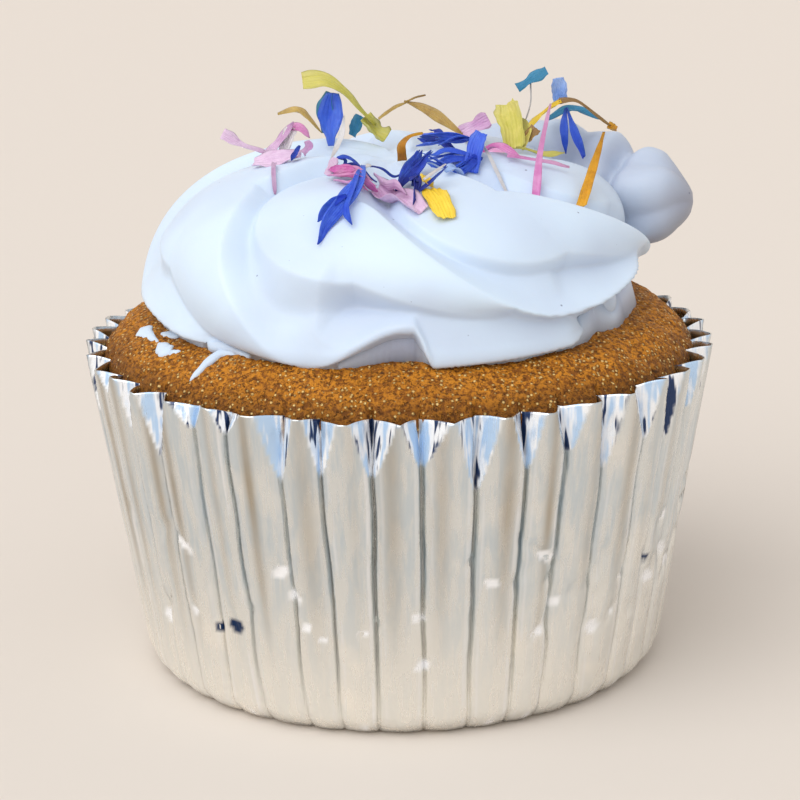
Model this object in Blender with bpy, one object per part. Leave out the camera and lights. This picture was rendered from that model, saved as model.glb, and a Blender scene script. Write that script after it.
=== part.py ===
"""A frosted cupcake in a pleated foil baking case.

Three solids, all centred on the Z axis, with the underside of the case at Z = 0:
foil_case, the pleated cup; cake, the crumb that fills it and domes above the rim;
frosting, one piped swirl whose ridges sweep anticlockwise from the top down to the
cake, ending in a tail that stands out at the back right. X is to the right, -Y is
the front.
"""

import math

import bmesh
import bpy
import numpy as np

# Foil case: a common standard baking cup, 50 mm across the base.
CASE_HEIGHT = 0.0320
RIM_RADIUS = 0.03075
BASE_RADIUS = 0.02525
BASE_EDGE_RADIUS = 0.0010
PLEATS = 41
PLEAT_DEPTH_RIM = 0.0019
PLEAT_DEPTH_BASE = 0.0007
PLEAT_CREST_SHARE = 0.42
PLEAT_ANGLE_SPREAD = 0.13
PLEAT_SEED = 7
SHALLOWEST_VALLEY = 0.8
RIM_SCALLOP = 0.0012
FOIL_THICKNESS = 0.0004

# Clearance left between pieces that touch.
GAP = 0.0003

# Cake: fills the case to just under its rim, then domes.
CAKE_EDGE_BELOW_RIM = 0.0022
CAKE_DOME_HEIGHT = 0.0068
CAKE_DOME_POWER = 3.0
CAKE_RING_SHARES = (0.42, 0.72, 0.88, 0.96)

# Frosting: the envelope that the ridge crests touch.
FROSTING_RADIUS = 0.0249
FROSTING_TOP = 0.0503
FROSTING_WAIST = 0.0366
FROSTING_FOOT_RADIUS = 0.0240
ENVELOPE_POWER = 2.6
VALLEY_DEPTH = 0.0034
TOP_LEAN = 0.0008
FOOT_CLEARANCE = 0.004
TOP_DROP = 0.0009
TOP_BLEND_RADIUS = 0.0090

# Every ridge: broad rounded flank below it, narrow hollow flank above it.
BELLY_WIDTH = 0.0100
BELLY_WIDTH_LEAST = 0.0015
BELLY_DEPTH = 0.0026
BELLY_FADE_TURN = 40.0
BELLY_FADE_POWER = 1.3
HOLLOW_DEPTH = 0.0030
HOLLOW_WIDTH = 0.0036
HOLLOW_SLOPE = 0.10
FLANK_BLEND = 1.6
END_DROP = 0.0016
END_FADE_SHARE = 0.8
RIDGE_START_HEIGHT = 0.0487
RIDGE_INNER_RADIUS = 0.0030
INNER_SWEEP = 50.0

# Ridges, anticlockwise from above: azimuth at the top in degrees from the front, turn
# to the lowest point, height there, turn to the end, height at the end.
RIDGES = (
    (-126.0, 42.0, 0.0350, 84.0, 0.0352),
    (-62.0, 42.0, 0.0348, 106.0, 0.0356),
    (-14.0, 52.0, 0.0386, 96.0, 0.0425),
    (37.0, 50.0, 0.0372, 92.0, 0.0390),
    (88.0, 46.0, 0.0352, 90.0, 0.0362),
    (138.0, 48.0, 0.0362, 92.0, 0.0380),
    (186.0, 46.0, 0.0350, 88.0, 0.0358),
)

# Front ruffle: a short stretch of one ridge's lowest edge lifts off the cake.
RUFFLE_RIDGE = 1
RUFFLE_REACH = 0.0010
RUFFLE_AZIMUTH = -1.0
RUFFLE_HALF_WIDTH = 10.0
RUFFLE_LIFT = 0.0026

# Tail of the piped rope: centre line points and thickness at each.
TAIL_ROUTE = (
    (-0.0030, 0.0125, 0.0440),
    (0.0075, 0.0150, 0.0452),
    (0.0160, 0.0146, 0.0454),
    (0.0215, 0.0122, 0.0440),
    (0.0258, 0.0098, 0.0428),
    (0.0294, 0.0088, 0.0428),
)
TAIL_RADII = (0.0036, 0.0052, 0.0052, 0.0047, 0.0047, 0.0024)
TAIL_LOBES = 5
TAIL_LOBE_DEPTH = 0.16
TAIL_TWIST = 110.0
TAIL_START_BULGE = 0.0008
TAIL_END_BULGE = 0.0012

# Finishes: base colour and roughness.
FOIL_COLOUR = (0.62, 0.60, 0.55)
FOIL_ROUGHNESS = 0.22
CRUMB_COLOUR = (0.36, 0.15, 0.035)
CRUMB_ROUGHNESS = 0.75
CREAM_COLOUR = (0.78, 0.82, 0.93)
CREAM_ROUGHNESS = 0.5

# Edges sharper than this stay sharp, in degrees.
FOIL_SHARP_ANGLE = 20.0
SOFT_SHARP_ANGLE = 35.0

# Fineness of the solids.
FROSTING_COLUMNS = 90
FROSTING_ROWS = 23
FROSTING_GRID_TWIST = 42.0
UNDERSIDE_ROWS = 3
UNDERSIDE_OFFSET = 0.35
TAIL_SIDES = 16
TAIL_STEPS = 12
COURSE_POINTS = 90
INNER_POINTS = 30
DOME_POINTS = 400
TUCK_POINTS = 60
NORMAL_STEP = 0.004


def remove_everything():
    """Clear the scene of any object already in it."""
    for item in list(bpy.data.objects):
        bpy.data.objects.remove(item, do_unlink=True)


def finish_material(name, colour, roughness, metallic=0.0):
    """A Principled material with one colour."""
    material = bpy.data.materials.new(name)
    material.use_nodes = True
    shader = material.node_tree.nodes["Principled BSDF"]
    shader.inputs["Base Color"].default_value = (*colour, 1.0)
    shader.inputs["Roughness"].default_value = roughness
    shader.inputs["Metallic"].default_value = metallic
    return material


def add_solid(name, rings, material, smooth_angle):
    """A closed body lofted through rings of points, with a pole at each end.

    The first and the last entry of rings are single points; the others all hold the
    same number of points, in order round the Z axis.
    """
    mesh = bpy.data.meshes.new(name)
    shape = bmesh.new()
    first_pole = shape.verts.new(rings[0])
    last_pole = shape.verts.new(rings[-1])
    loops = [[shape.verts.new(point) for point in ring] for ring in rings[1:-1]]
    count = len(loops[0])
    for i in range(count):
        j = (i + 1) % count
        shape.faces.new((first_pole, loops[0][i], loops[0][j]))
        shape.faces.new((last_pole, loops[-1][j], loops[-1][i]))
        for upper, lower in zip(loops, loops[1:]):
            shape.faces.new((upper[i], lower[i], lower[j], upper[j]))
    bmesh.ops.recalc_face_normals(shape, faces=shape.faces)
    shape.to_mesh(mesh)
    shape.free()
    mesh.materials.append(material)
    mesh.shade_smooth()
    mesh.set_sharp_from_angle(angle=math.radians(smooth_angle))
    item = bpy.data.objects.new(name, mesh)
    bpy.context.scene.collection.objects.link(item)
    return item


# ---------------------------------------------------------------- foil case


def pleat_corners():
    """Azimuth and depth share of each corner of the pleats.

    Each pleat has a flat crest between two corners and a sharp valley at its third.
    """
    draw = np.random.default_rng(PLEAT_SEED)
    pitch = 2.0 * math.pi / PLEATS
    corners = []
    for k in range(PLEATS):
        centre = (k + PLEAT_ANGLE_SPREAD * draw.uniform(-1.0, 1.0)) * pitch
        half_crest = 0.5 * PLEAT_CREST_SHARE * pitch
        corners.append((centre - half_crest, 0.0))
        corners.append((centre + half_crest, 0.0))
        corners.append(((k + 0.5) * pitch, draw.uniform(SHALLOWEST_VALLEY, 1.0)))
    return corners


def case_radius(height, depth_share):
    """Outer radius of the case wall at a height, on a crest (0) or in a valley (1)."""
    t = height / CASE_HEIGHT
    crest = BASE_RADIUS + (RIM_RADIUS - BASE_RADIUS) * t
    depth = PLEAT_DEPTH_BASE + (PLEAT_DEPTH_RIM - PLEAT_DEPTH_BASE) * t
    return crest - depth * depth_share


def wall_ring(corners, height, inset, scallop):
    """One ring of wall points at a height; scallop lowers the valleys."""
    ring = []
    for azimuth, depth_share in corners:
        radius = case_radius(height, depth_share) - inset
        level = height - scallop * depth_share
        ring.append((radius * math.sin(azimuth), -radius * math.cos(azimuth), level))
    return ring


def make_foil_case(corners):
    """The pleated cup: outer wall up to the rim, then down inside to the floor."""
    low = BASE_EDGE_RADIUS
    middle = 0.5 * CASE_HEIGHT
    rings = [(0.0, 0.0, 0.0)]
    rings.append(wall_ring(corners, 0.0, low, 0.0))
    rings.append(wall_ring(corners, low, 0.0, 0.0))
    rings.append(wall_ring(corners, middle, 0.0, 0.0))
    rings.append(wall_ring(corners, CASE_HEIGHT, 0.0, RIM_SCALLOP))
    rings.append(wall_ring(corners, CASE_HEIGHT, FOIL_THICKNESS, RIM_SCALLOP))
    rings.append(wall_ring(corners, middle, FOIL_THICKNESS, 0.0))
    rings.append(wall_ring(corners, low + FOIL_THICKNESS, FOIL_THICKNESS, 0.0))
    rings.append(wall_ring(corners, FOIL_THICKNESS, low + FOIL_THICKNESS, 0.0))
    rings.append((0.0, 0.0, FOIL_THICKNESS))
    foil = finish_material("foil", FOIL_COLOUR, FOIL_ROUGHNESS, 1.0)
    return add_solid("foil_case", rings, foil, FOIL_SHARP_ANGLE)


# --------------------------------------------------------------------- cake


def cake_edge_height():
    """Height where the cake leaves the case wall."""
    return CASE_HEIGHT - CAKE_EDGE_BELOW_RIM


def cake_edge_radius():
    """Round radius of the cake where its dome starts."""
    inset = FOIL_THICKNESS + GAP
    return case_radius(cake_edge_height(), 1.0) - inset


def cake_top(radius):
    """Height of the cake's dome at a distance from the axis."""
    share = np.clip(np.asarray(radius) / cake_edge_radius(), 0.0, 1.0)
    rise = CAKE_DOME_HEIGHT * np.sqrt(1.0 - share**CAKE_DOME_POWER)
    return cake_edge_height() + rise


def make_cake(corners):
    """The cake: it follows the pleats inside the case and domes above them."""
    inset = FOIL_THICKNESS + GAP
    floor = FOIL_THICKNESS + GAP
    low = BASE_EDGE_RADIUS + floor
    edge = cake_edge_height()
    rings = [(0.0, 0.0, float(cake_top(0.0)))]
    for share in CAKE_RING_SHARES:
        radius = share * cake_edge_radius()
        level = float(cake_top(radius))
        rings.append(
            [(radius * math.sin(a), -radius * math.cos(a), level) for a, _ in corners]
        )
    rings.append(wall_ring(corners, edge, inset, 0.0))
    rings.append(wall_ring(corners, 0.5 * CASE_HEIGHT, inset, 0.0))
    rings.append(wall_ring(corners, low, inset, 0.0))
    rings.append(wall_ring(corners, floor, inset + BASE_EDGE_RADIUS, 0.0))
    rings.append((0.0, 0.0, floor))
    crumb = finish_material("crumb", CRUMB_COLOUR, CRUMB_ROUGHNESS)
    return add_solid("cake", rings, crumb, SOFT_SHARP_ANGLE)


# ----------------------------------------------------------------- frosting


class Envelope:
    """The smooth dome that the ridge crests touch, by its share of arc length."""

    def __init__(self):
        rise = FROSTING_TOP - FROSTING_WAIST
        turn = np.linspace(0.0, 0.5 * math.pi, DOME_POINTS)
        power = 2.0 / ENVELOPE_POWER
        radius = FROSTING_RADIUS * np.sin(turn) ** power
        height = FROSTING_WAIST + rise * np.cos(turn) ** power
        tuck = np.linspace(0.0, 0.5 * math.pi, TUCK_POINTS)[1:]
        foot = float(cake_top(FROSTING_FOOT_RADIUS)) + GAP
        inward = FROSTING_RADIUS - FROSTING_FOOT_RADIUS
        foot_radius = FROSTING_RADIUS - inward * (1.0 - np.cos(tuck))
        foot_height = FROSTING_WAIST + (foot - FROSTING_WAIST) * np.sin(tuck)
        self.radii = np.concatenate([radius, foot_radius])
        self.heights = np.concatenate([height, foot_height])
        steps = np.hypot(np.diff(self.radii), np.diff(self.heights))
        length = np.concatenate([[0.0], np.cumsum(steps)])
        self.shares = length / length[-1]

    def radius(self, share):
        """Distance from the axis at a share of the arc length."""
        return np.interp(share, self.shares, self.radii)

    def height(self, share):
        """Height at a share of the arc length."""
        return np.interp(share, self.shares, self.heights)

    def share_at_height(self, height):
        """Share of the arc length at a height."""
        return np.interp(-np.asarray(height), -self.heights, self.shares)

    def share_at_radius(self, radius):
        """Share of the arc length at a distance from the axis, above the waist."""
        rising = self.shares <= self.share_at_height(FROSTING_WAIST)
        return np.interp(radius, self.radii[rising], self.shares[rising])

    def points(self, azimuth, share):
        """Points of the dome, azimuth in radians from the front."""
        radius = self.radius(share)
        return np.stack(
            [radius * np.sin(azimuth), -radius * np.cos(azimuth), self.height(share)], -1
        )

    def normals(self, azimuth, share):
        """Outward unit normals of the dome."""
        ahead = np.clip(share + NORMAL_STEP, 0.0, 1.0)
        behind = np.clip(share - NORMAL_STEP, 0.0, 1.0)
        along_radius = self.radius(ahead) - self.radius(behind)
        along_height = self.height(ahead) - self.height(behind)
        length = np.hypot(along_radius, along_height)
        outward = -along_height / length
        upward = along_radius / length
        return np.stack(
            [outward * np.sin(azimuth), -outward * np.cos(azimuth), upward], -1
        )


def ridge_course(envelope, ridge):
    """Azimuth, envelope share and turn of the points along one ridge's crest."""
    start, low_turn, low_height, end_turn, end_height = ridge
    turn = np.linspace(0.0, end_turn, COURSE_POINTS)
    fall = 0.5 * (1.0 + np.cos(math.pi * np.clip(turn / low_turn, 0.0, 1.0)))
    after = np.clip((turn - low_turn) / (end_turn - low_turn), 0.0, 1.0)
    height = low_height + (RIDGE_START_HEIGHT - low_height) * fall
    height = height + (end_height - low_height) * after**2
    azimuth = np.radians(start + turn)
    if ridge == RIDGES[RUFFLE_RIDGE]:
        away = (start + turn - RUFFLE_AZIMUTH) / RUFFLE_HALF_WIDTH
        lift = np.cos(0.5 * math.pi * np.clip(away, -1.0, 1.0))
        on_foot = height < low_height + RUFFLE_REACH
        height = height + np.where(on_foot, RUFFLE_LIFT * lift**2, 0.0)
    share = envelope.share_at_height(height)
    first_share = envelope.share_at_radius(RIDGE_INNER_RADIUS)
    inner_share = np.linspace(first_share, share[0], INNER_POINTS)[:-1]
    inward = 1.0 - envelope.radius(inner_share) / envelope.radius(share[0])
    inner_azimuth = azimuth[0] - math.radians(INNER_SWEEP) * inward**2
    return (
        np.concatenate([inner_azimuth, azimuth]),
        np.concatenate([inner_share, share]),
        np.concatenate([np.zeros(len(inner_share)), turn]),
    )


def ridge_drop(envelope, ridge, places):
    """How far below the envelope one ridge's flanks lie at each place."""
    azimuth, share, turn = ridge_course(envelope, ridge)
    crest = envelope.points(azimuth, share)
    tangent = np.gradient(crest, axis=0)
    spacing = np.linalg.norm(tangent, axis=1)
    side = np.cross(envelope.normals(azimuth, share), tangent)
    side /= np.linalg.norm(side, axis=1)[:, None]
    distance = np.linalg.norm(places[:, None, :] - crest[None, :, :], axis=2)
    nearest = np.argmin(distance, axis=1)
    offset = places - crest[nearest]
    half = 0.5 * spacing[nearest]
    along = np.einsum("ij,ij->i", offset, tangent[nearest]) / spacing[nearest]
    along = np.clip(along, -half, half)
    gap = np.sqrt(np.maximum(np.einsum("ij,ij->i", offset, offset) - along**2, 0.0))
    across = np.einsum("ij,ij->i", offset, side[nearest])
    lean = across / np.maximum(gap, 1e-9)
    hollow_part = 0.5 + 0.5 * np.clip(FLANK_BLEND * lean, -1.0, 1.0)
    fade = np.clip(1.0 - turn / BELLY_FADE_TURN, 0.0, 1.0) ** BELLY_FADE_POWER
    width = BELLY_WIDTH_LEAST + BELLY_WIDTH * fade
    belly = BELLY_DEPTH * np.min(distance / width, axis=1) ** 2
    hollow = HOLLOW_DEPTH * (1.0 - np.exp(-gap / HOLLOW_WIDTH)) + HOLLOW_SLOPE * gap
    turned = turn[nearest] / turn[-1]
    ending = np.clip((turned - END_FADE_SHARE) / (1.0 - END_FADE_SHARE), 0.0, 1.0)
    return hollow_part * hollow + (1.0 - hollow_part) * belly + END_DROP * ending**2


def frosting_rings(columns, rows):
    """Rings of the swirl from its top pole down and in under it, for any fineness."""
    envelope = Envelope()
    shares = np.linspace(0.0, 1.0, rows + 1)[1:]
    angles = np.arange(columns) * 2.0 * math.pi / columns
    azimuth, share = np.meshgrid(angles, shares)
    azimuth = azimuth + math.radians(FROSTING_GRID_TWIST) * share
    flat_azimuth = azimuth.ravel()
    flat_share = share.ravel()
    places = envelope.points(flat_azimuth, flat_share)
    drop = np.full(len(places), VALLEY_DEPTH)
    for ridge in RIDGES:
        drop = np.minimum(drop, ridge_drop(envelope, ridge, places))
    near_top = np.clip(envelope.radius(flat_share) / TOP_BLEND_RADIUS, 0.0, 1.0)
    drop = drop * near_top + TOP_DROP * (1.0 - near_top)
    surface = places - envelope.normals(flat_azimuth, flat_share) * drop[:, None]
    rise = np.clip((surface[:, 2] - FROSTING_WAIST) / (FROSTING_TOP - FROSTING_WAIST), 0, 1)
    surface[:, 2] += TOP_LEAN * rise * surface[:, 1] / FROSTING_RADIUS
    reach = np.hypot(surface[:, 0], surface[:, 1])
    rest_height = cake_top(reach) + GAP + FOOT_CLEARANCE * (1.0 - flat_share)
    surface[:, 2] = np.maximum(surface[:, 2], rest_height)
    rings = [(0.0, 0.0, FROSTING_TOP - TOP_DROP)]
    surface = surface.reshape(rows, columns, 3)
    rings.extend([tuple(map(float, point)) for point in ring] for ring in surface)
    foot = surface[-1]
    for k in range(UNDERSIDE_ROWS):
        keep = 1.0 - (k + UNDERSIDE_OFFSET) / UNDERSIDE_ROWS
        inner = foot[:, :2] * keep
        level = cake_top(np.hypot(inner[:, 0], inner[:, 1])) + GAP
        rings.append([(float(x), float(y), float(z)) for (x, y), z in zip(inner, level)])
    rings.append((0.0, 0.0, float(cake_top(0.0)) + GAP))
    return rings


def smooth_between(values, where):
    """Values of a smooth curve through evenly spaced rows, at places from 0 to 1."""
    rows = np.asarray(values, dtype=float)
    if rows.ndim == 1:
        rows = rows[:, None]
    padded = np.vstack([2 * rows[0] - rows[1], rows, 2 * rows[-1] - rows[-2]])
    spot = np.clip(where, 0.0, 1.0) * (len(rows) - 1)
    index = np.minimum(spot.astype(int), len(rows) - 2)
    t = (spot - index)[:, None]
    a, b, c, d = (padded[index + k] for k in range(4))
    curve = 2 * b + (c - a) * t + (2 * a - 5 * b + 4 * c - d) * t**2
    return 0.5 * (curve + (3 * b - a - 3 * c + d) * t**3)


def tail_rings(sides, steps):
    """Rings of the rope's tail, lobed and twisting as it goes."""
    where = np.linspace(0.0, 1.0, steps)
    centre = smooth_between(TAIL_ROUTE, where)
    radius = smooth_between(TAIL_RADII, where)[:, 0]
    tangent = np.gradient(centre, axis=0)
    tangent /= np.linalg.norm(tangent, axis=1)[:, None]
    level = np.cross(tangent, (0.0, 0.0, 1.0))
    level /= np.linalg.norm(level, axis=1)[:, None]
    upright = np.cross(level, tangent)
    rings = [tuple(centre[0] - TAIL_START_BULGE * tangent[0])]
    for k in range(steps):
        twist = math.radians(TAIL_TWIST) * where[k]
        ring = []
        for i in range(sides):
            angle = 2.0 * math.pi * i / sides
            lobe = abs(math.cos(0.5 * TAIL_LOBES * (angle - twist)))
            reach = radius[k] * (1.0 - TAIL_LOBE_DEPTH + TAIL_LOBE_DEPTH * lobe)
            point = centre[k] + reach * (math.cos(angle) * level[k] + math.sin(angle) * upright[k])
            ring.append(tuple(map(float, point)))
        rings.append(ring)
    rings.append(tuple(centre[-1] + TAIL_END_BULGE * tangent[-1]))
    return rings


def make_frosting():
    """The swirl, with the tail of the rope joined to it as one body."""
    cream = finish_material("cream", CREAM_COLOUR, CREAM_ROUGHNESS)
    swirl_rings = frosting_rings(FROSTING_COLUMNS, FROSTING_ROWS)
    swirl = add_solid("frosting", swirl_rings, cream, SOFT_SHARP_ANGLE)
    rope_rings = tail_rings(TAIL_SIDES, TAIL_STEPS)
    tail = add_solid("tail_shape", rope_rings, cream, SOFT_SHARP_ANGLE)
    tail.hide_render = True
    tail.display_type = "WIRE"
    union = swirl.modifiers.new("join_tail", "BOOLEAN")
    union.operation = "UNION"
    union.object = tail
    return swirl


def main():
    """Build the three solids."""
    remove_everything()
    corners = pleat_corners()
    make_foil_case(corners)
    make_cake(corners)
    make_frosting()


main()
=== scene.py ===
"""Looks of a frosted cupcake: crumb, piped frosting, pleated foil case and dried petals."""

import logging
import math
from collections.abc import Sequence
from dataclasses import dataclass, field
from enum import Enum

import bpy
import numpy as np
from mathutils import Euler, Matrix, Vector, noise
from mathutils.bvhtree import BVHTree


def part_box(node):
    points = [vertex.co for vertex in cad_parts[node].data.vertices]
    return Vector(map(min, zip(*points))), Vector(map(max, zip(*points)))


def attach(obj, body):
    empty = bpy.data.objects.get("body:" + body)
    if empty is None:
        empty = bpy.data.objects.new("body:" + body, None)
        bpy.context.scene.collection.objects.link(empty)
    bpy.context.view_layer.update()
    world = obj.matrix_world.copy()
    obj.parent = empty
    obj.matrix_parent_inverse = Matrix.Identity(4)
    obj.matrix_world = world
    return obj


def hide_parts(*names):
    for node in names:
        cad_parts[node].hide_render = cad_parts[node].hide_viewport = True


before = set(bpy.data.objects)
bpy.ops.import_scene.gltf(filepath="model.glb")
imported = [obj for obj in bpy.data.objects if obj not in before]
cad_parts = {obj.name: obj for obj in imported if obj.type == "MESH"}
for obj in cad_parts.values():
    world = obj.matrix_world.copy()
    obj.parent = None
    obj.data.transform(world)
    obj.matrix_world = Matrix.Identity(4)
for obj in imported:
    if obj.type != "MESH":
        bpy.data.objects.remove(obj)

log = logging.getLogger("cupcake")
logging.basicConfig(level=logging.INFO, format="%(message)s")

MM = 0.001
BODY = "root"
FREE_HEIGHT = 40.0
Triple = tuple[float, float, float]
Colour = Triple


def linear(red: float, green: float, blue: float) -> Colour:
    """Turn a colour as seen on screen, 0 to 255, into linear light.

    Args:
        red: Red, 0 to 255.
        green: Green, 0 to 255.
        blue: Blue, 0 to 255.

    Returns:
        The three linear values, 0 to 1.
    """
    def one(value: float) -> float:
        """Linear value of one channel."""
        share = value / 255.0
        return share / 12.92 if share <= 0.04045 else ((share + 0.055) / 1.055) ** 2.4

    return one(red), one(green), one(blue)


def smooth_step(low: float, high: float, values: np.ndarray) -> np.ndarray:
    """Rise smoothly from 0 at low to 1 at high.

    Args:
        low: Value where the rise starts.
        high: Value where the rise ends.
        values: Values to map.

    Returns:
        The shares, 0 to 1.
    """
    share = np.clip((values - low) / (high - low), 0.0, 1.0)
    return share * share * (3.0 - 2.0 * share)


def bell(values: np.ndarray, middle: object, width: object) -> np.ndarray:
    """A bell-shaped bump, 1 at its middle."""
    return np.exp(-(((values - middle) / width) ** 2))


def smooth_rows(rows: Sequence[Sequence[float]], where: np.ndarray) -> np.ndarray:
    """Read a smooth curve through evenly spaced rows of numbers.

    Args:
        rows: Rows the curve passes through.
        where: Places along the curve, 0 to 1.

    Returns:
        One row of numbers for each place.
    """
    table = np.asarray(rows, dtype=float)
    if table.ndim == 1:
        table = table[:, None]
    padded = np.vstack([2 * table[0] - table[1], table, 2 * table[-1] - table[-2]])
    spot = np.clip(where, 0.0, 1.0) * (len(table) - 1)
    index = np.minimum(spot.astype(int), len(table) - 2)
    t = (spot - index)[:, None]
    a, b, c, d = (padded[index + k] for k in range(4))
    curve = 2 * b + (c - a) * t + (2 * a - 5 * b + 4 * c - d) * t**2
    return 0.5 * (curve + (3 * b - a - 3 * c + d) * t**3)


def soft_least(first: np.ndarray, second: np.ndarray, reach: np.ndarray) -> np.ndarray:
    """The smaller of two fields, with the corner between them rounded.

    Args:
        first: One field.
        second: The other field.
        reach: Difference of the fields at which the rounding starts.

    Returns:
        The rounded minimum.
    """
    close = np.maximum(1.0 - np.abs(first - second) / reach, 0.0)
    return np.minimum(first, second) - 0.25 * reach * close**2


# ------------------------------------------------------------------ shaders


class Value:
    """A number that varies over a surface, extended by Python arithmetic."""

    def __init__(self, graph: "Graph", socket: bpy.types.NodeSocket) -> None:
        """Keep the graph and the socket that gives the number."""
        self.graph = graph
        self.socket = socket

    def _math(self, operation: str, first: object, second: object) -> "Value":
        """Add one Math node.

        Args:
            operation: The node's operation.
            first: First number or Value.
            second: Second number or Value.

        Returns:
            The node's result.
        """
        return self.graph.value(
            "ShaderNodeMath", {"operation": operation}, {0: first, 1: second}
        )

    def __add__(self, other: object) -> "Value":
        """Sum."""
        return self._math("ADD", self, other)

    def __radd__(self, other: object) -> "Value":
        """Sum, from the right."""
        return self._math("ADD", other, self)

    def __sub__(self, other: object) -> "Value":
        """Difference."""
        return self._math("SUBTRACT", self, other)

    def __rsub__(self, other: object) -> "Value":
        """Difference, from the right."""
        return self._math("SUBTRACT", other, self)

    def __mul__(self, other: object) -> "Value":
        """Product."""
        return self._math("MULTIPLY", self, other)

    def __rmul__(self, other: object) -> "Value":
        """Product, from the right."""
        return self._math("MULTIPLY", other, self)

    def over(self, low: float, high: float) -> "Value":
        """Map the value to a share that rises from 0 at low to 1 at high.

        Args:
            low: Value that becomes 0.
            high: Value that becomes 1.

        Returns:
            The clamped share.
        """
        return self.graph.value(
            "ShaderNodeMapRange",
            {"clamp": True, "interpolation_type": "SMOOTHSTEP"},
            {"Value": self, "From Min": low, "From Max": high},
        )


class Graph:
    """A material's nodes around one Principled shader."""

    def __init__(self, name: str) -> None:
        """Make a new material.

        Args:
            name: The material's name.
        """
        self.material = bpy.data.materials.new(name)
        self.material.use_nodes = True
        self.tree = self.material.node_tree
        self.shader = self.tree.nodes["Principled BSDF"]
        self.place = self.node("ShaderNodeTexCoord", {}, {}).outputs["Object"]

    def node(self, kind: str, settings: dict, sockets: dict) -> bpy.types.Node:
        """Add any node.

        Args:
            kind: The node's type.
            settings: Its settings, set first.
            sockets: Values or links of its sockets, by name or number.

        Returns:
            The new node.
        """
        made = self.tree.nodes.new(kind)
        for key, setting in settings.items():
            setattr(made, key, setting)
        for key, source in sockets.items():
            self.feed(made.inputs[key], source)
        return made

    def feed(self, socket: bpy.types.NodeSocket, source: object) -> None:
        """Link or set one socket.

        Args:
            socket: The socket to feed.
            source: A Value, another node's socket, a number, a colour or a vector.
        """
        if isinstance(source, Value):
            self.tree.links.new(source.socket, socket)
        elif isinstance(source, bpy.types.NodeSocket):
            self.tree.links.new(source, socket)
        elif isinstance(source, tuple) and socket.type == "RGBA":
            socket.default_value = (*source, 1.0)
        else:
            socket.default_value = source

    def value(self, kind: str, settings: dict, sockets: dict, output: object = 0) -> Value:
        """Add a node and take one of its numbers.

        Args:
            kind: The node's type.
            settings: Its settings.
            sockets: Values or links of its sockets.
            output: Name or number of the output.

        Returns:
            The number as a Value.
        """
        return Value(self, self.node(kind, settings, sockets).outputs[output])

    def noise(
        self, size: float, detail: float = 2.0, rough: float = 0.5, place: object = None
    ) -> Value:
        """Soft noise, from about 0.3 to 0.7.

        Args:
            size: Size of its features in metres.
            detail: How many finer layers it has.
            rough: How strong the finer layers are.
            place: Where it is read, or None for the object's own place.

        Returns:
            The noise.
        """
        sockets = {
            "Vector": place or self.place,
            "Scale": 1.0 / size,
            "Detail": detail,
            "Roughness": rough,
        }
        return self.value("ShaderNodeTexNoise", {}, sockets, "Fac")

    def stretched(self, scale: Triple) -> bpy.types.NodeSocket:
        """The object's place stretched along its axes.

        Args:
            scale: Factor along X, Y and Z.

        Returns:
            The stretched place.
        """
        sockets = {0: self.place, 1: scale}
        return self.node("ShaderNodeVectorMath", {"operation": "MULTIPLY"}, sockets).outputs[0]

    def grains(self, size: float, share: float, soft: float = 0.5) -> Value:
        """Separate round grains that cover a small share of the surface.

        Args:
            size: Distance between neighbouring cells in metres.
            share: Radius of a grain as a share of that distance.
            soft: Width of the soft edge as a share of the radius.

        Returns:
            1 in a grain and 0 outside.
        """
        distance = self.value(
            "ShaderNodeTexVoronoi", {}, {"Vector": self.place, "Scale": 1.0 / size}, "Distance"
        )
        return 1.0 - distance.over(share * (1.0 - soft), share)

    def chosen(self, size: float, least: float) -> Value:
        """A random pick of whole cells, the same cells that grains of this size use.

        Args:
            size: Distance between neighbouring cells in metres.
            least: Cells whose random number is above this are picked.

        Returns:
            1 in picked cells and 0 in the others.
        """
        colour = self.node(
            "ShaderNodeTexVoronoi", {}, {"Vector": self.place, "Scale": 1.0 / size}
        ).outputs["Color"]
        red = self.value("ShaderNodeSeparateColor", {}, {0: colour}, 0)
        return red.over(least, least + 0.01)

    def attribute(self, name: str) -> Value:
        """A number stored on the mesh."""
        return self.value("ShaderNodeAttribute", {"attribute_name": name}, {}, "Fac")

    def height(self) -> Value:
        """Height above the table, in metres."""
        return self.value("ShaderNodeSeparateXYZ", {}, {0: self.place}, 2)

    def mix(self, factor: object, first: object, second: object) -> bpy.types.NodeSocket:
        """Mix two colours.

        Args:
            factor: Share of the second, as a number or a Value.
            first: First colour.
            second: Second colour.

        Returns:
            The mixed colour.
        """
        sockets = {0: factor, 6: first, 7: second}
        return self.node("ShaderNodeMix", {"data_type": "RGBA"}, sockets).outputs[2]

    def bump(self, height: Value, depth: float) -> None:
        """Feed the shader's normal from a height.

        Args:
            height: Height over the surface, 0 to 1.
            depth: Depth in metres between heights 0 and 1.
        """
        sockets = {"Height": height, "Distance": depth, "Strength": 1.0}
        made = self.node("ShaderNodeBump", {}, sockets)
        self.feed(self.shader.inputs["Normal"], made.outputs[0])

    def set(self, **sockets: object) -> None:
        """Feed the shader's own sockets, named with underscores for spaces."""
        for key, source in sockets.items():
            self.feed(self.shader.inputs[key.replace("_", " ")], source)


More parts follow.
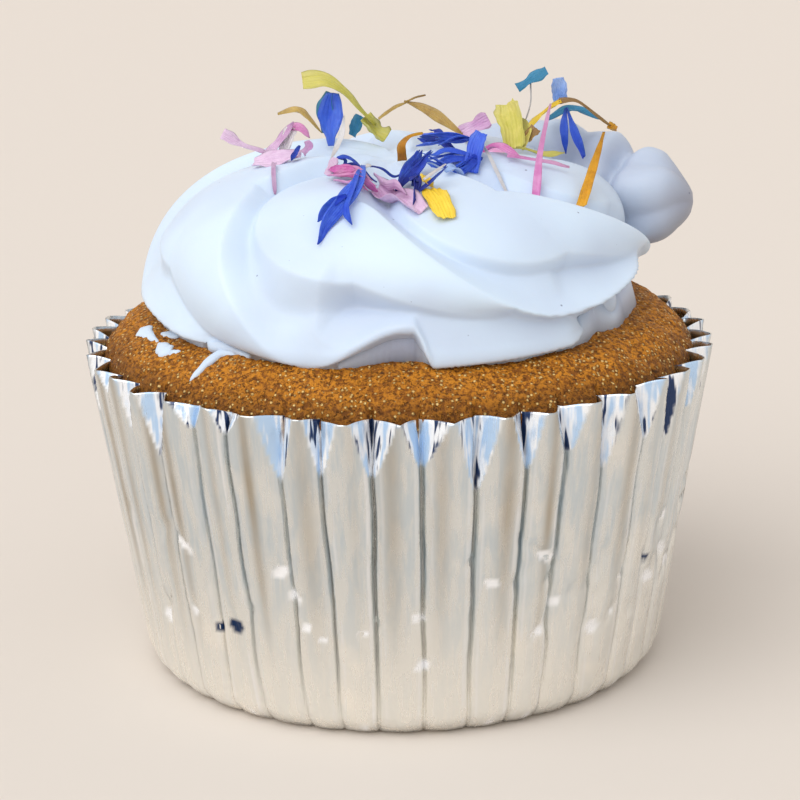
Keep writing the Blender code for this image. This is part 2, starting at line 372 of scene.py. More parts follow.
@dataclass(frozen=True)
class CreamFinish:
    """Smooth whipped frosting, pale lavender white with a few dark specks, and painted shade:
    darker in its valleys and creases, greyed on the far right of the swirl and on the tail.
    """

    light: Colour = linear(214, 231, 249)
    # shade: darker lavender for the painted shade in the valleys and creases; random broad tone
    # also mixes in a little of it
    shade: Colour = linear(176, 184, 208)
    speck: Colour = linear(96, 98, 128)
    # colour of the painted shade on the far right and the tail
    painted_shade_grey: Colour = linear(138, 136, 146)

    def material(self) -> bpy.types.Material:
        """Build the material.

        Returns:
            The material.
        """
        graph = Graph("cream")
        broad = graph.noise(9 * MM, 1.0)
        # painted shade: the deeper a valley or crease, the more the colour turns to the shade
        # colour
        painted_crease_shade = graph.attribute("painted_crease_shade")
        colour = graph.mix(broad.over(0.35, 0.7) * 0.25 + painted_crease_shade * 0.5, self.light, self.shade)
        # painted shade: the back right of the swirl and the tail's tip are greyed
        colour = graph.mix(graph.attribute("painted_dimness") * 0.7, colour, self.painted_shade_grey)
        specks = graph.grains(2.1 * MM, 0.075) * graph.chosen(2.1 * MM, 0.82)
        fine = graph.grains(1.2 * MM, 0.06) * graph.chosen(1.2 * MM, 0.9)
        colour = graph.mix(specks * 0.75 + fine * 0.4, colour, self.speck)
        soft = graph.noise(2.4 * MM, 2.0)
        graph.set(
            Base_Color=colour,
            Roughness=0.42 + broad * 0.16,
            Subsurface_Weight=0.15,
            Subsurface_Scale=2 * MM,
            Subsurface_Radius=(1.0, 0.8, 0.7),
        )
        graph.bump(soft - specks * 0.3, 0.06 * MM)
        return graph.material


@dataclass(frozen=True)
class CrumbFinish:
    """Baked crust: golden brown, mottled, with dark specks, painted sugary sparkle highlights and
    painted shade near its edges.
    """

    golden: Colour = linear(212, 136, 34)
    brown: Colour = linear(132, 76, 14)
    # deep: darker brown for the pits and for the painted shade near the edges
    deep: Colour = linear(92, 54, 16)
    # colour of the painted sparkle highlights
    painted_glint: Colour = linear(255, 216, 140)
    speck: Colour = linear(52, 32, 22)

    def material(self) -> bpy.types.Material:
        """Build the material.

        Returns:
            The material.
        """
        graph = Graph("crumb")
        broad = graph.noise(5 * MM, 2.0)
        mottle = graph.noise(0.5 * MM, 4.0, 0.75)
        colour = graph.mix(mottle.over(0.40, 0.58), self.brown, self.golden)
        colour = graph.mix(broad.over(0.48, 0.72) * 0.35, colour, self.brown)
        # painted shade: darker where the crust meets the foil and round the foot of the frosting
        colour = graph.mix(graph.attribute("rim") * 0.6, colour, self.deep)
        pits = graph.noise(0.32 * MM, 3.0, 0.7).over(0.56, 0.64)
        colour = graph.mix(pits * 0.55, colour, self.deep)
        # painted highlight: small bright golden sparkles, which are also smoother
        painted_glints = graph.grains(0.42 * MM, 0.42) * graph.chosen(0.42 * MM, 0.60)
        colour = graph.mix(painted_glints * 0.85, colour, self.painted_glint)
        specks = graph.grains(1.6 * MM, 0.16) * graph.chosen(1.6 * MM, 0.72)
        colour = graph.mix(specks * 0.8, colour, self.speck)
        graph.set(Base_Color=colour, Roughness=0.62 - painted_glints * 0.3, Specular_IOR_Level=0.25)
        graph.bump(mottle * 1.0 + painted_glints * 0.6 - pits * 0.6, 0.30 * MM)
        return graph.material


@dataclass(frozen=True)
class FoilFinish:
    """Thin rolled foil, with painted reflections and highlights: soft brownish stripes down the
    wall, bright cool facets at the rim, bright lines, sparkles and dark flecks, and painted shade
    in the creases.
    """

    silver: Colour = linear(228, 231, 230)
    cool: Colour = linear(210, 220, 226)
    warm_patch_and_painted_reflection: Colour = linear(253, 250, 242)
    painted_reflection_beige: Colour = linear(172, 160, 140)
    # dark: colour of the painted shade in the creases
    dark: Colour = linear(112, 106, 96)
    # white, blue and the dark blue below them: colours of the painted reflections and highlights
    white: Colour = linear(252, 253, 255)
    blue: Colour = linear(190, 216, 244)
    painted_reflection_navy: Colour = linear(34, 56, 96)

    def material(self) -> bpy.types.Material:
        """Build the material.

        Returns:
            The material.
        """
        graph = Graph("foil")
        streak = graph.noise(0.9 * MM, 3.0, 0.6, graph.stretched((1.0, 1.0, 0.05)))
        patch = graph.noise(6 * MM, 2.0)
        colour = graph.mix(streak.over(0.38, 0.64), self.silver, self.cool)
        # painted reflection: the lowest part of the wall is brighter and warmer, as if reflecting
        # the floor; random patches add warmer tone as well
        low = 1.0 - graph.height().over(0.003, 0.020)
        colour = graph.mix(low * 0.7 + patch.over(0.55, 0.72) * 0.3, colour, self.warm_patch_and_painted_reflection)
        # painted reflection: a darker brownish stripe down each pleat stands in for the reflected
        # surroundings
        colour = graph.mix(graph.attribute("painted_reflection_band") * (0.4 + patch * 0.8), colour, self.painted_reflection_beige)
        # painted highlight: thin bright lines beside the creases
        colour = graph.mix(graph.attribute("line") * streak.over(0.40, 0.56), colour, self.white)
        # painted shade: the creases below the facets are darkened
        colour = graph.mix(graph.attribute("painted_crease_shade") * 0.5, colour, self.dark)
        # painted reflection: the facets at the rim are painted bright white and pale blue with dark
        # blue streaks, as if reflecting a bright sky, and are less metallic
        facet = graph.attribute("facet")
        drawn = graph.noise(1.1 * MM, 2.0, 0.6, graph.stretched((1.0, 1.0, 0.16)))
        bright = graph.mix(drawn.over(0.40, 0.52), self.blue, self.white)
        colour = graph.mix(facet, colour, bright)
        colour = graph.mix(facet * drawn.over(0.56, 0.61), colour, self.painted_reflection_navy)
        # painted highlight and painted reflection: bright specks and dark blue flecks at the dents
        # and the foot
        colour = graph.mix(graph.attribute("painted_glint"), colour, self.white)
        colour = graph.mix(graph.attribute("painted_reflection_spots"), colour, self.painted_reflection_navy)
        graph.set(
            Base_Color=colour,
            Metallic=1.0 - facet * 0.6 - graph.attribute("painted_glint") * 0.6,
            Roughness=0.22 + streak * 0.12,
        )
        graph.bump(streak * 0.5 + graph.noise(2.2 * MM, 3.0) * 1.6, 0.12 * MM)
        return graph.material


@dataclass(frozen=True)
class PetalFinish:
    """Dried petal: thin, veined along its length, paler or darker in places."""

    name: str
    main: Colour
    other: Colour

    def material(self) -> bpy.types.Material:
        """Build the material.

        Returns:
            The material.
        """
        graph = Graph(self.name)
        across = graph.attribute("across")
        vein = graph.value("ShaderNodeMath", {"operation": "SINE"}, {0: across * 22.0})
        patch = graph.noise(1.2 * MM, 3.0, 0.6)
        share = graph.attribute("tint") + patch.over(0.42, 0.68) * 0.35 + vein * 0.05
        colour = graph.mix(share, self.main, self.other)
        graph.set(
            Base_Color=colour,
            Roughness=0.5,
            Subsurface_Weight=0.15,
            Subsurface_Scale=1 * MM,
            Subsurface_Radius=(1.0, 1.0, 1.0),
        )
        graph.bump(vein * 0.18 + patch, 0.08 * MM)
        return graph.material


@dataclass(frozen=True)
class FloorFinish:
    """Plain pale paper sweep."""

    pale: Colour = linear(221, 212, 203)

    def material(self) -> bpy.types.Material:
        """Build the material.

        Returns:
            The material.
        """
        graph = Graph("floor_paper")
        graph.set(Base_Color=self.pale, Roughness=0.9, Specular_IOR_Level=0.0)
        return graph.material


# ------------------------------------------------------------------- meshes


def new_piece(
    name: str,
    points: np.ndarray,
    faces: Sequence[Sequence[int]],
    material: bpy.types.Material,
    attributes: dict[str, np.ndarray] | None = None,
) -> bpy.types.Object:
    """Make one smooth-shaded mesh object.

    Args:
        name: Name of the piece.
        points: Its points in metres.
        faces: Its faces as rows of point numbers.
        material: What it is made of.
        attributes: Numbers stored on its points, by name.

    Returns:
        The new object.
    """
    mesh = bpy.data.meshes.new(name)
    mesh.from_pydata(np.asarray(points).tolist(), [], [list(face) for face in faces])
    mesh.validate()
    for key, numbers in (attributes or {}).items():
        layer = mesh.attributes.new(key, "FLOAT", "POINT")
        layer.data.foreach_set("value", np.asarray(numbers, np.float32))
    mesh.materials.append(material)
    mesh.shade_smooth()
    piece = bpy.data.objects.new(name, mesh)
    bpy.context.scene.collection.objects.link(piece)
    return piece


def grid_faces(rows: int, columns: int, wrap: bool = True) -> list[tuple[int, ...]]:
    """Faces of a grid of points, row after row.

    Args:
        rows: Number of rows.
        columns: Points in a row.
        wrap: Whether each row closes on itself.

    Returns:
        The faces.
    """
    row, column = np.meshgrid(
        np.arange(rows - 1), np.arange(columns if wrap else columns - 1), indexing="ij"
    )
    ahead = (column + 1) % columns
    corners = (row * columns + column, (row + 1) * columns + column,
               (row + 1) * columns + ahead, row * columns + ahead)
    return [tuple(face) for face in np.stack([c.ravel() for c in corners], 1).tolist()]


def capped_faces(rows: int, columns: int) -> list[tuple[int, ...]]:
    """Faces of a closed tube: rings of points with a flat face at each end.

    Args:
        rows: Number of rings.
        columns: Points in a ring.

    Returns:
        The faces.
    """
    count = rows * columns
    faces = grid_faces(rows, columns)
    faces.append(tuple(range(columns)))
    faces.append(tuple(range(count - 1, count - columns - 1, -1)))
    return faces


def around(radius: np.ndarray, azimuth: np.ndarray, height: np.ndarray) -> np.ndarray:
    """Points at a radius, an azimuth from the front and a height.

    Args:
        radius: Distance from the axis.
        azimuth: Angle from the front, towards the right, in radians.
        height: Height above the table.

    Returns:
        The points, one in each row.
    """
    return np.stack([radius * np.sin(azimuth), -radius * np.cos(azimuth), height], -1)


@dataclass
class FoilCase:
    """The pleated foil cup: broad columns, tight creases and facets that open at the rim."""

    pleats: int = 41
    columns_per_pleat: int = 20
    rows: int = 84
    inner_step: int = 3
    depth_base: float = 0.14 * MM
    depth_wall: float = 1.05 * MM
    depth_rim: float = 2.0 * MM
    crease_width: float = 0.14
    facet_width: float = 0.92
    facet_height: float = 6.0 * MM
    scallop: float = 0.5 * MM
    thickness: float = 0.12 * MM
    edge_radius: float = 2.4 * MM
    lowest: float = 0.010
    floor_thickness: float = 0.25 * MM
    spread: float = 0.2 * MM
    bow: float = 0.30 * MM
    column_packing: float = 1.25
    drift: float = 0.03
    # band_share down to spot_most place the painted reflections, highlights and dark flecks
    band_share: tuple[float, float] = (0.12, 0.7)
    painted_highlight_places: tuple[float, float] = (0.72, -0.66)
    foot_glint_height: float = 0.9 * MM
    dent_depth: float = 0.30 * MM
    dents: int = 130
    glint_least: float = 0.66
    spot_most: float = 0.10
    seed: int = 11
    marks: tuple[str, ...] = ("facet", "painted_reflection_band", "line", "painted_crease_shade", "painted_glint", "painted_reflection_spots")
    height: float = field(init=False)
    rim_radius: float = field(init=False)
    base_radius: float = field(init=False)

    def __post_init__(self) -> None:
        """Take the sizes from the frame and draw the pleats' small differences."""
        low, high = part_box("foil_case")
        self.height = high.z
        self.rim_radius = 0.5 * (high.y - low.y)
        corners = [v.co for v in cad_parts["foil_case"].data.vertices]
        self.base_radius = max(c.xy.length for c in corners if c.z < MM + 1e-5)
        draw = np.random.default_rng(self.seed)
        count = self.pleats
        self.shift = draw.uniform(-0.12, 0.12, count)
        self.lean = draw.uniform(-0.12, 0.12, count)
        self.facet_tall = draw.choice([0.35, 0.75, 0.95, 1.1, 1.25], count)
        self.facet_wide = draw.uniform(0.75, 1.1, count)
        self.deep = draw.uniform(0.75, 1.15, count)
        self.top = draw.uniform(-0.1, 0.45, count) * MM
        self.tilt = draw.uniform(-0.35, 0.35, count) * MM
        self.wander = draw.uniform(-1.0, 1.0, (count, 3))
        self.band_place = draw.uniform(-0.55, 0.55, count)
        self.band_width = draw.uniform(0.18, 0.5, count)
        self.band_dark = draw.uniform(0.1, 1.0, count)
        # strength of each pleat's painted highlights
        self.bright = draw.uniform(0.0, 1.0, count)
        self.dent_place = np.stack(
            [
                draw.uniform(0.0, 2.0 * math.pi, self.dents),
                draw.normal(13.0 * MM, 3.0 * MM, self.dents),
                draw.uniform(0.45, 1.05, self.dents) * MM,
                draw.uniform(-0.9, 0.9, self.dents),
                draw.uniform(0.0, 1.0, self.dents),
            ],
            -1,
        )

    def surface(self, level: np.ndarray) -> dict[str, np.ndarray]:
        """Shape of the wall at rows of some levels.

        Args:
            level: Shares of the wall's height, 0 at the base and 1 at the rim.

        Returns:
            Azimuth, radius, height and the shares that colour the foil, painted reflections,
            highlights and crease shade among them, a row for each level and a column for each line
            down the wall.
        """
        pitch = 2.0 * math.pi / self.pleats
        even = np.arange(self.columns_per_pleat) / self.columns_per_pleat
        signed = 2.0 * even - 1.0
        packed = 0.5 + 0.5 * np.sign(signed) * np.abs(signed) ** self.column_packing
        spot = np.tile(packed, self.pleats)[None, :]
        left = np.repeat(np.arange(self.pleats), self.columns_per_pleat)
        right = (left + 1) % self.pleats
        level = level[:, None] * np.ones_like(spot)
        wave = np.sin(level[..., None] * np.array([3.0, 7.0, 13.0]) * math.pi * 0.5)
        drift = self.drift * np.einsum("ijk,jk->ij", wave, self.wander[left])
        middle = 0.5 + self.shift[left] + self.lean[left] * (level - 0.5) + drift
        past = spot > 0.5
        side = np.where(past, 2.0 * (1.0 - spot), 2.0 * spot)
        within = np.where(past, 1.0 - side * (1.0 - middle), side * middle)
        crest = np.where(past[0], right, left)
        signed = np.where(past, -side, side)
        azimuth = (left + within) * pitch
        tall = self.facet_height * self.facet_tall[left] / self.height
        up = np.clip((level - 1.0 + tall) / tall, 0.0, 1.0)
        opening = np.maximum(self.facet_width * self.facet_wide[left] * up**0.8, 1e-3)
        trough = np.clip(1.0 - (1.0 - side) / opening, 0.0, 1.0)
        crease = np.clip(1.0 - (1.0 - side) / self.crease_width, 0.0, 1.0)
        rise = np.minimum(level / 0.6, 1.0)
        wall_deep = self.depth_base + (self.depth_wall - self.depth_base) * rise
        wall_deep = wall_deep * self.deep[left] * (1.0 - 0.8 * up)
        deep = wall_deep * crease**1.3
        facet_deep = self.deep[left] * np.minimum(self.facet_tall[left] + 0.3, 1.0)
        deep = deep + self.depth_rim * up * trough**0.85 * facet_deep
        bow = self.bow * side**2 + self.tilt[crest] * signed * level
        radius = self.base_radius + (self.rim_radius - self.base_radius) * level
        radius = radius - deep - bow - self.spread * level
        top = self.top[crest] * (1.0 - side) + self.scallop * side**2
        height = self.height * level - top * smooth_step(0.72, 1.0, level)
        facet = smooth_step(0.0, 0.12, trough) * smooth_step(0.0, 0.12, up)
        # painted reflection: a darker stripe down one side of each pleat, of random place and
        # strength
        dark = bell(signed, self.band_place[crest], self.band_width[crest])
        painted_reflection_band = dark * self.band_dark[crest] * smooth_step(*self.band_share, level) * (1.0 - facet)
        # painted highlight: thin bright lines beside each crease
        near, far = self.painted_highlight_places
        line = bell(signed, near, 0.07) * self.bright[crest]
        line = (line + 0.7 * bell(signed, far, 0.05) * self.bright[right]) * (1.0 - facet)
        # painted shade in the creases, fading out towards the facets and the base
        painted_crease_shade = smooth_step(0.45, 0.95, crease) * (1.0 - smooth_step(0.0, 0.3, up))
        painted_crease_shade = painted_crease_shade * smooth_step(0.02, 0.3, level)
        # painted highlight: small bright specks at the foot of some pleats
        foot = bell(height, self.foot_glint_height, 0.45 * MM) * bell(signed, 0.1, 0.22)
        painted_glint = foot * (self.bright[crest] > 0.6)
        radius, painted_glint, painted_reflection_spots = self.press_dents(azimuth, height, radius, painted_glint)
        shares = dict(zip(self.marks, (facet, painted_reflection_band, line, painted_crease_shade, painted_glint, painted_reflection_spots)))
        return {"azimuth": azimuth, "radius": radius, "height": height, **shares}

    def press_dents(
        self, azimuth: np.ndarray, height: np.ndarray, radius: np.ndarray, painted_glint: np.ndarray
    ) -> tuple[np.ndarray, np.ndarray, np.ndarray]:
        """Press the small dents into the wall, painting bright highlights into some and dark
        reflected flecks into a few others.

        Args:
            azimuth: Azimuth of each point.
            height: Height of each point.
            radius: Radius of each point without dents.
            painted_glint: Painted highlight share of each point without dents.

        Returns:
            Radius, painted highlight share and painted dark reflection share with the dents.
        """
        painted_reflection_spots = np.zeros_like(radius)
        for angle, z, size, slant, kind in self.dent_place:
            away = (azimuth - angle + math.pi) % (2.0 * math.pi) - math.pi
            x = away * self.base_radius / size
            y = (height - z) / size
            u = x + slant * y
            radius = radius - self.dent_depth * np.exp(-(u**2) * 1.6 - (y**2) * 0.5)
            # core: where a dent gets a painted highlight or a painted dark reflection
            core = smooth_step(0.18, 0.5, np.exp(-((u - 0.2) ** 2) * 1.5 - (y**2) * 2.2))
            if kind > self.glint_least:
                painted_glint = np.maximum(painted_glint, core)
            elif kind < self.spot_most:
                painted_reflection_spots = np.maximum(painted_reflection_spots, core)
        return radius, painted_glint, painted_reflection_spots

    def inner_radius(self, azimuth: np.ndarray, height: float) -> np.ndarray:
        """Radius of the inner face at one height.

        Args:
            azimuth: Azimuths, in radians.
            height: Height above the table.

        Returns:
            The radius at each azimuth.
        """
        wall = self.surface(np.array([height / self.height]))
        spin = wall["azimuth"][0] % (2.0 * math.pi)
        order = np.argsort(spin)
        outer = np.interp(azimuth, spin[order], wall["radius"][0][order], period=2.0 * math.pi)
        return outer - self.thickness

    def build(self, material: bpy.types.Material) -> bpy.types.Object:
        """Make the mesh.

        Args:
            material: The foil.

        Returns:
            The piece.
        """
        columns = self.pleats * self.columns_per_pleat
        share = np.linspace(0.0, 1.0, self.rows)
        share = 0.55 * share + 0.45 * (1.0 - (1.0 - share) ** 1.8)
        wall = self.surface(self.lowest + (1.0 - self.lowest) * share)
        tuck = np.clip(1.0 - wall["height"] / self.edge_radius, 0.0, 1.0)
        wall["radius"] = wall["radius"] - 0.6 * self.edge_radius * tuck**2
        first, first_radius = wall["azimuth"][:1], wall["radius"][:1]
        rings = []
        for keep, level in ((0.15, 0.0), (0.5, 0.0), (0.85, 0.0), (0.96, 0.03 * MM)):
            flat = np.full((1, columns), level)
            rings.append((first, first_radius * keep, flat))
        rings.append((wall["azimuth"], wall["radius"], wall["height"]))
        back = slice(None, None, -self.inner_step)
        inner = wall["radius"][back] - self.thickness
        inner_height = np.maximum(wall["height"][back], self.floor_thickness)
        rings.append((wall["azimuth"][back], inner, inner_height))
        for keep in (0.9, 0.5, 0.15):
            flat = np.full((1, columns), self.floor_thickness)
            rings.append((first, inner[-1:] * keep, flat))
        azimuth, radius, height = (np.concatenate([ring[k] for ring in rings]) for k in range(3))
        points = around(radius, azimuth, height).reshape(-1, 3)
        data = {}
        for key in self.marks:
            rows = np.zeros_like(radius)
            rows[4 : 4 + self.rows] = wall[key]
            data[key] = rows.ravel()
        faces = capped_faces(len(radius), columns)
        return new_piece("foil_case_pleated", points, faces, material, data)


@dataclass
class Cake:
    """The baked cake: a dome whose edge runs into the pleats, with a rough crust."""

    case: FoilCase
    columns: int = 640
    rows: int = 84
    edge_below_rim: float = 1.4 * MM
    dome_power: float = 4.0
    lumps: float = 0.35 * MM
    grain: float = 0.16 * MM
    pit: float = 0.3 * MM
    dome_inset: float = 2.3 * MM
    edge_inset: float = 2.0 * MM
    inner_share: float = 0.5
    top: float = field(init=False)
    edge: float = field(init=False)

    def __post_init__(self) -> None:
        """Take the dome's height from the frame."""
        self.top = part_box("cake")[1].z
        self.edge = self.case.height - self.edge_below_rim

    def dome(self, share: np.ndarray) -> np.ndarray:
        """Height of the smooth dome at a share of its radius."""
        return self.edge + (self.top - self.edge) * np.sqrt(1.0 - share**self.dome_power)

    def edge_radius(self, azimuth: np.ndarray) -> np.ndarray:
        """Radius where the crust meets the foil."""
        close = self.case.inner_radius(azimuth, self.edge) - 0.1 * MM
        return np.minimum(close, self.case.rim_radius - self.edge_inset)

    def top_at(self, x: float, y: float) -> float:
        """Height of the smooth dome over a point of the table."""
        share = math.hypot(x, y) / (self.case.rim_radius - self.dome_inset)
        return float(self.dome(np.minimum(np.array(share), 1.0)))

    def roughness(self, place: Vector) -> float:
        """How far the crust stands out or in at a place.

        Args:
            place: A point of the smooth crust.

        Returns:
            The distance in metres.
        """
        lump = self.lumps * noise.fractal(place * 190.0, 1.0, 2.0, 2)
        grain = self.grain * noise.fractal(place * 1150.0, 0.6, 2.1, 3)
        pit = self.pit * max(0.0, noise.noise(place * 420.0 + Vector((9, 2, 5))) - 0.30)
        return lump + grain - pit

    def build(self, material: bpy.types.Material) -> bpy.types.Object:
        """Make the mesh.

        Args:
            material: The crumb.

        Returns:
            The piece.
        """
        angles = np.arange(self.columns) * 2.0 * math.pi / self.columns
        edge = self.edge_radius(angles)
        lean = np.linspace(0.0, 1.0, self.rows)
        share = 1.0 - (1.0 - self.inner_share) * (1.0 - lean) ** 1.4
        azimuth, s = np.meshgrid(angles, share)
        blend = smooth_step(0.965, 1.0, s)
        r = s * (edge.mean() * (1.0 - blend) + edge[None, :] * blend)
        z = self.dome(np.minimum(s, 1.0))
        points = around(r, azimuth, z).reshape(-1, 3)
        slope = np.clip(s, 0.0, 1.0).ravel() ** 6
        out = around(slope, azimuth.ravel(), 1.0 - 0.6 * slope)
        push = np.array([self.roughness(Vector(point)) for point in points.tolist()])
        fade = 1.0 - smooth_step(0.975, 1.0, s.ravel())
        points = points + out * (push * (0.25 + 0.75 * fade))[:, None]
        low_r = edge - 0.3 * MM
        skirt = [
            around(low_r * keep, angles, np.full_like(angles, level))
            for keep, level in ((1.0, self.edge - 3 * MM), (0.86, 1.2 * MM), (0.4, 1.2 * MM))
        ]
        points = np.concatenate([points, *skirt])
        # painted shade share: towards the foil, and under and round the frosting's foot
        rim = smooth_step(0.93, 1.0, s.ravel())
        rim = np.concatenate([rim, np.ones(len(skirt) * self.columns)])
        under = 1.0 - smooth_step(0.80, 0.88, s.ravel())
        rim[: len(under)] = np.maximum(rim[: len(under)], 0.5 * under)
        faces = capped_faces(self.rows + len(skirt), self.columns)
        return new_piece("cake_crumb", points, faces, material, {"rim": rim})


# ----------------------------------------------------------------- frosting


@dataclass(frozen=True)
class Ridge:
    """One crest of the swirl, anticlockwise from above; degrees and millimetres.

    start is its azimuth at the top; it sinks to low_height after low_turn and ends at
    end_height after end_turn. belly is the rounded skin below the crest: its width at
    the top and the turn where it has run out. hollow is the valley behind the crest: its
    depth and width at the top, then its depth and width at the foot. fade is the share
    of its length after which it sinks away.
    """

    start: float
    low_turn: float
    low_height: float
    end_turn: float
    end_height: float
    rounding: float = 0.3
    belly: tuple[float, float] = (11.0, 39.0)
    hollow: tuple[float, float, float, float] = (3.4, 4.0, 1.8, 2.6)
    fade: float = 0.8


@dataclass(frozen=True)
class Merge:
    """A place where two folds run softly into one: azimuth in degrees, the rest in millimetres."""

    azimuth: float
    height: float
    reach: float
    blend: float


@dataclass(frozen=True)
class Lump:
    """A rounded bulge of the frosting: azimuth in degrees, the rest in millimetres."""

    azimuth: float
    height: float
    drop: float
    reach: float


@dataclass
class PipedFrosting:
    """The swirl of seven ridges, the ruffled front edge and the rope's tail."""

    cake: Cake
    columns: int = 580
    rows: int = 158
    radius: float = 24.9 * MM
    waist: float = 36.6 * MM
    foot_radius: float = 24.0 * MM
    envelope_power: float = 2.6
    valley_depth: float = 5.4 * MM
    belly_drop: float = 1.0 * MM
    belly_slope: float = 1.5
    belly_least: float = 0.25 * MM
    start_height: float = 48.7 * MM
    inner_radius: float = 3.0 * MM
    ruffle: tuple[float, float, float, float, float] = (-18.0, 0.5, 3.0, 7.5, 3.4)
    ridges: tuple[Ridge, ...] = (
        Ridge(-126.0, 42.0, 37.0, 84.0, 34.2, 0.5, belly=(8.5, 39.0)),
        Ridge(-62.0, 42.0, 34.8, 108.0, 35.6, 0.45, hollow=(6.4, 4.6, 1.5, 2.6), fade=0.92),
        Ridge(-14.0, 52.0, 38.6, 96.0, 42.5, 0.12, belly=(9.4, 39.0), hollow=(3.2, 2.6, 2.5, 2.4)),
        Ridge(37.0, 80.0, 37.2, 112.0, 38.0, 0.3, belly=(8.6, 48.0), hollow=(4.4, 3.4, 2.4, 2.4)),
        Ridge(92.0, 46.0, 35.2, 90.0, 36.2, 0.3, belly=(6.4, 39.0)),
        Ridge(138.0, 48.0, 36.2, 92.0, 38.0, 0.3, belly=(8.0, 39.0), hollow=(4.0, 3.6, 1.8, 2.6)),
        Ridge(186.0, 46.0, 35.0, 88.0, 35.8, 0.3, belly=(8.0, 39.0), hollow=(4.0, 3.6, 1.8, 2.6)),
    )
    lumps: tuple[Lump, ...] = (Lump(60.0, 37.6, 1.7, 2.6),)
    merges: tuple[Merge, ...] = (
        Merge(-27.0, 42.6, 6.0, 6.0),
        Merge(-4.0, 46.6, 3.0, 1.0),
        Merge(-76.0, 43.0, 5.5, 3.0),
    )
    fold_blend: float = 0.45 * MM
    smear: float = 2.6 * MM
    crest_points: int = 170
    inner_points: int = 30
    chunks: int = 16
    normal_step: float = 0.004
    inner_sweep: float = 50.0
    end_drop: float = 1.6 * MM
    hollow_rise: float = 0.08
    top_radius: float = 9.0 * MM
    top_drop: float = 0.9 * MM
    back_rise: float = 0.8 * MM
    sunk: float = 0.25 * MM
    tail_steps: int = 90
    tail_sides: int = 64
    tail_twist: float = 150.0
    ruffle_foot: float = 34.9 * MM
    ruffle_slope: float = 1.7
    ruffle_lip: float = 0.45 * MM
    tail_route: tuple[Triple, ...] = (
        (5.0, 14.6, 43.6),
        (11.0, 14.8, 45.0),
        (16.6, 14.0, 45.4),
        (21.5, 12.2, 44.0),
        (25.8, 9.8, 42.8),
        (29.6, 8.6, 42.6),
    )
    tail_radii: tuple[float, ...] = (3.8, 5.0, 5.2, 4.8, 4.8, 2.6)
    top: float = field(init=False)

    def __post_init__(self) -> None:
        """Lay out the envelope that the crests touch."""
        self.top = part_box("frosting")[1].z - 0.3 * MM
        turn = np.linspace(0.0, 0.5 * math.pi, 400)
        power = 2.0 / self.envelope_power
        radius = self.radius * np.sin(turn) ** power
        height = self.waist + (self.top - self.waist) * np.cos(turn) ** power
        tuck = np.linspace(0.0, 0.5 * math.pi, 60)[1:]
        foot = self.cake.top_at(0.0, self.foot_radius)
        low_r = self.radius + (self.foot_radius - self.radius) * (1.0 - np.cos(tuck))
        low_z = self.waist + (foot - self.waist) * np.sin(tuck)
        self.radii = np.concatenate([radius, low_r])
        self.heights = np.concatenate([height, low_z])
        steps = np.hypot(np.diff(self.radii), np.diff(self.heights))
        length = np.concatenate([[0.0], np.cumsum(steps)])
        self.shares = length / length[-1]

    def envelope(self, azimuth: np.ndarray, share: np.ndarray) -> np.ndarray:
        """Points of the envelope at some azimuths and shares of its length."""
        radius = np.interp(share, self.shares, self.radii)
        return around(radius, azimuth, np.interp(share, self.shares, self.heights))

    def normals(self, azimuth: np.ndarray, share: np.ndarray) -> np.ndarray:
        """Outward normals of the envelope.

        Args:
            azimuth: Azimuth of each point, in radians.
            share: Its share of the envelope's length.

        Returns:
            The unit normals, one in each row.
        """
        ends = np.clip(np.stack([share - self.normal_step, share + self.normal_step]), 0.0, 1.0)
        low_r, high_r = np.interp(ends, self.shares, self.radii)
        low_z, high_z = np.interp(ends, self.shares, self.heights)
        dr, dz = high_r - low_r, high_z - low_z
        size = np.hypot(dr, dz)
        return around(-dz / size, azimuth, dr / size)

    def share_at_height(self, height: np.ndarray) -> np.ndarray:
        """Share of the envelope's length at a height."""
        return np.interp(-np.asarray(height), -self.heights, self.shares)

    def course(self, ridge: Ridge) -> tuple[np.ndarray, np.ndarray, np.ndarray]:
        """Follow one crest.

        Args:
            ridge: The crest.

        Returns:
            Azimuth, envelope share and turn in degrees of the points along it.
        """
        turn = np.linspace(0.0, ridge.end_turn, self.crest_points)
        fall = 0.5 * (1.0 + np.cos(math.pi * np.clip(turn / ridge.low_turn, 0.0, 1.0)))
        after = np.clip((turn - ridge.low_turn) / (ridge.end_turn - ridge.low_turn), 0.0, 1.0)
        low = ridge.low_height * MM
        height = low + (self.start_height - low) * fall + (ridge.end_height * MM - low) * after**2
        azimuth = np.radians(ridge.start + turn)
        share = self.share_at_height(height)
        start_radius = np.interp(share[0], self.shares, self.radii)
        inner_radius = np.linspace(self.inner_radius, start_radius, self.inner_points)[:-1]
        rising = self.shares <= self.share_at_height(self.waist)
        inner_share = np.interp(inner_radius, self.radii[rising], self.shares[rising])
        inward = 1.0 - inner_radius / start_radius
        inner = azimuth[0] - math.radians(self.inner_sweep) * inward**2
        parts = ((inner, azimuth), (inner_share, share), (-inward, turn))
        return tuple(np.concatenate(part) for part in parts)

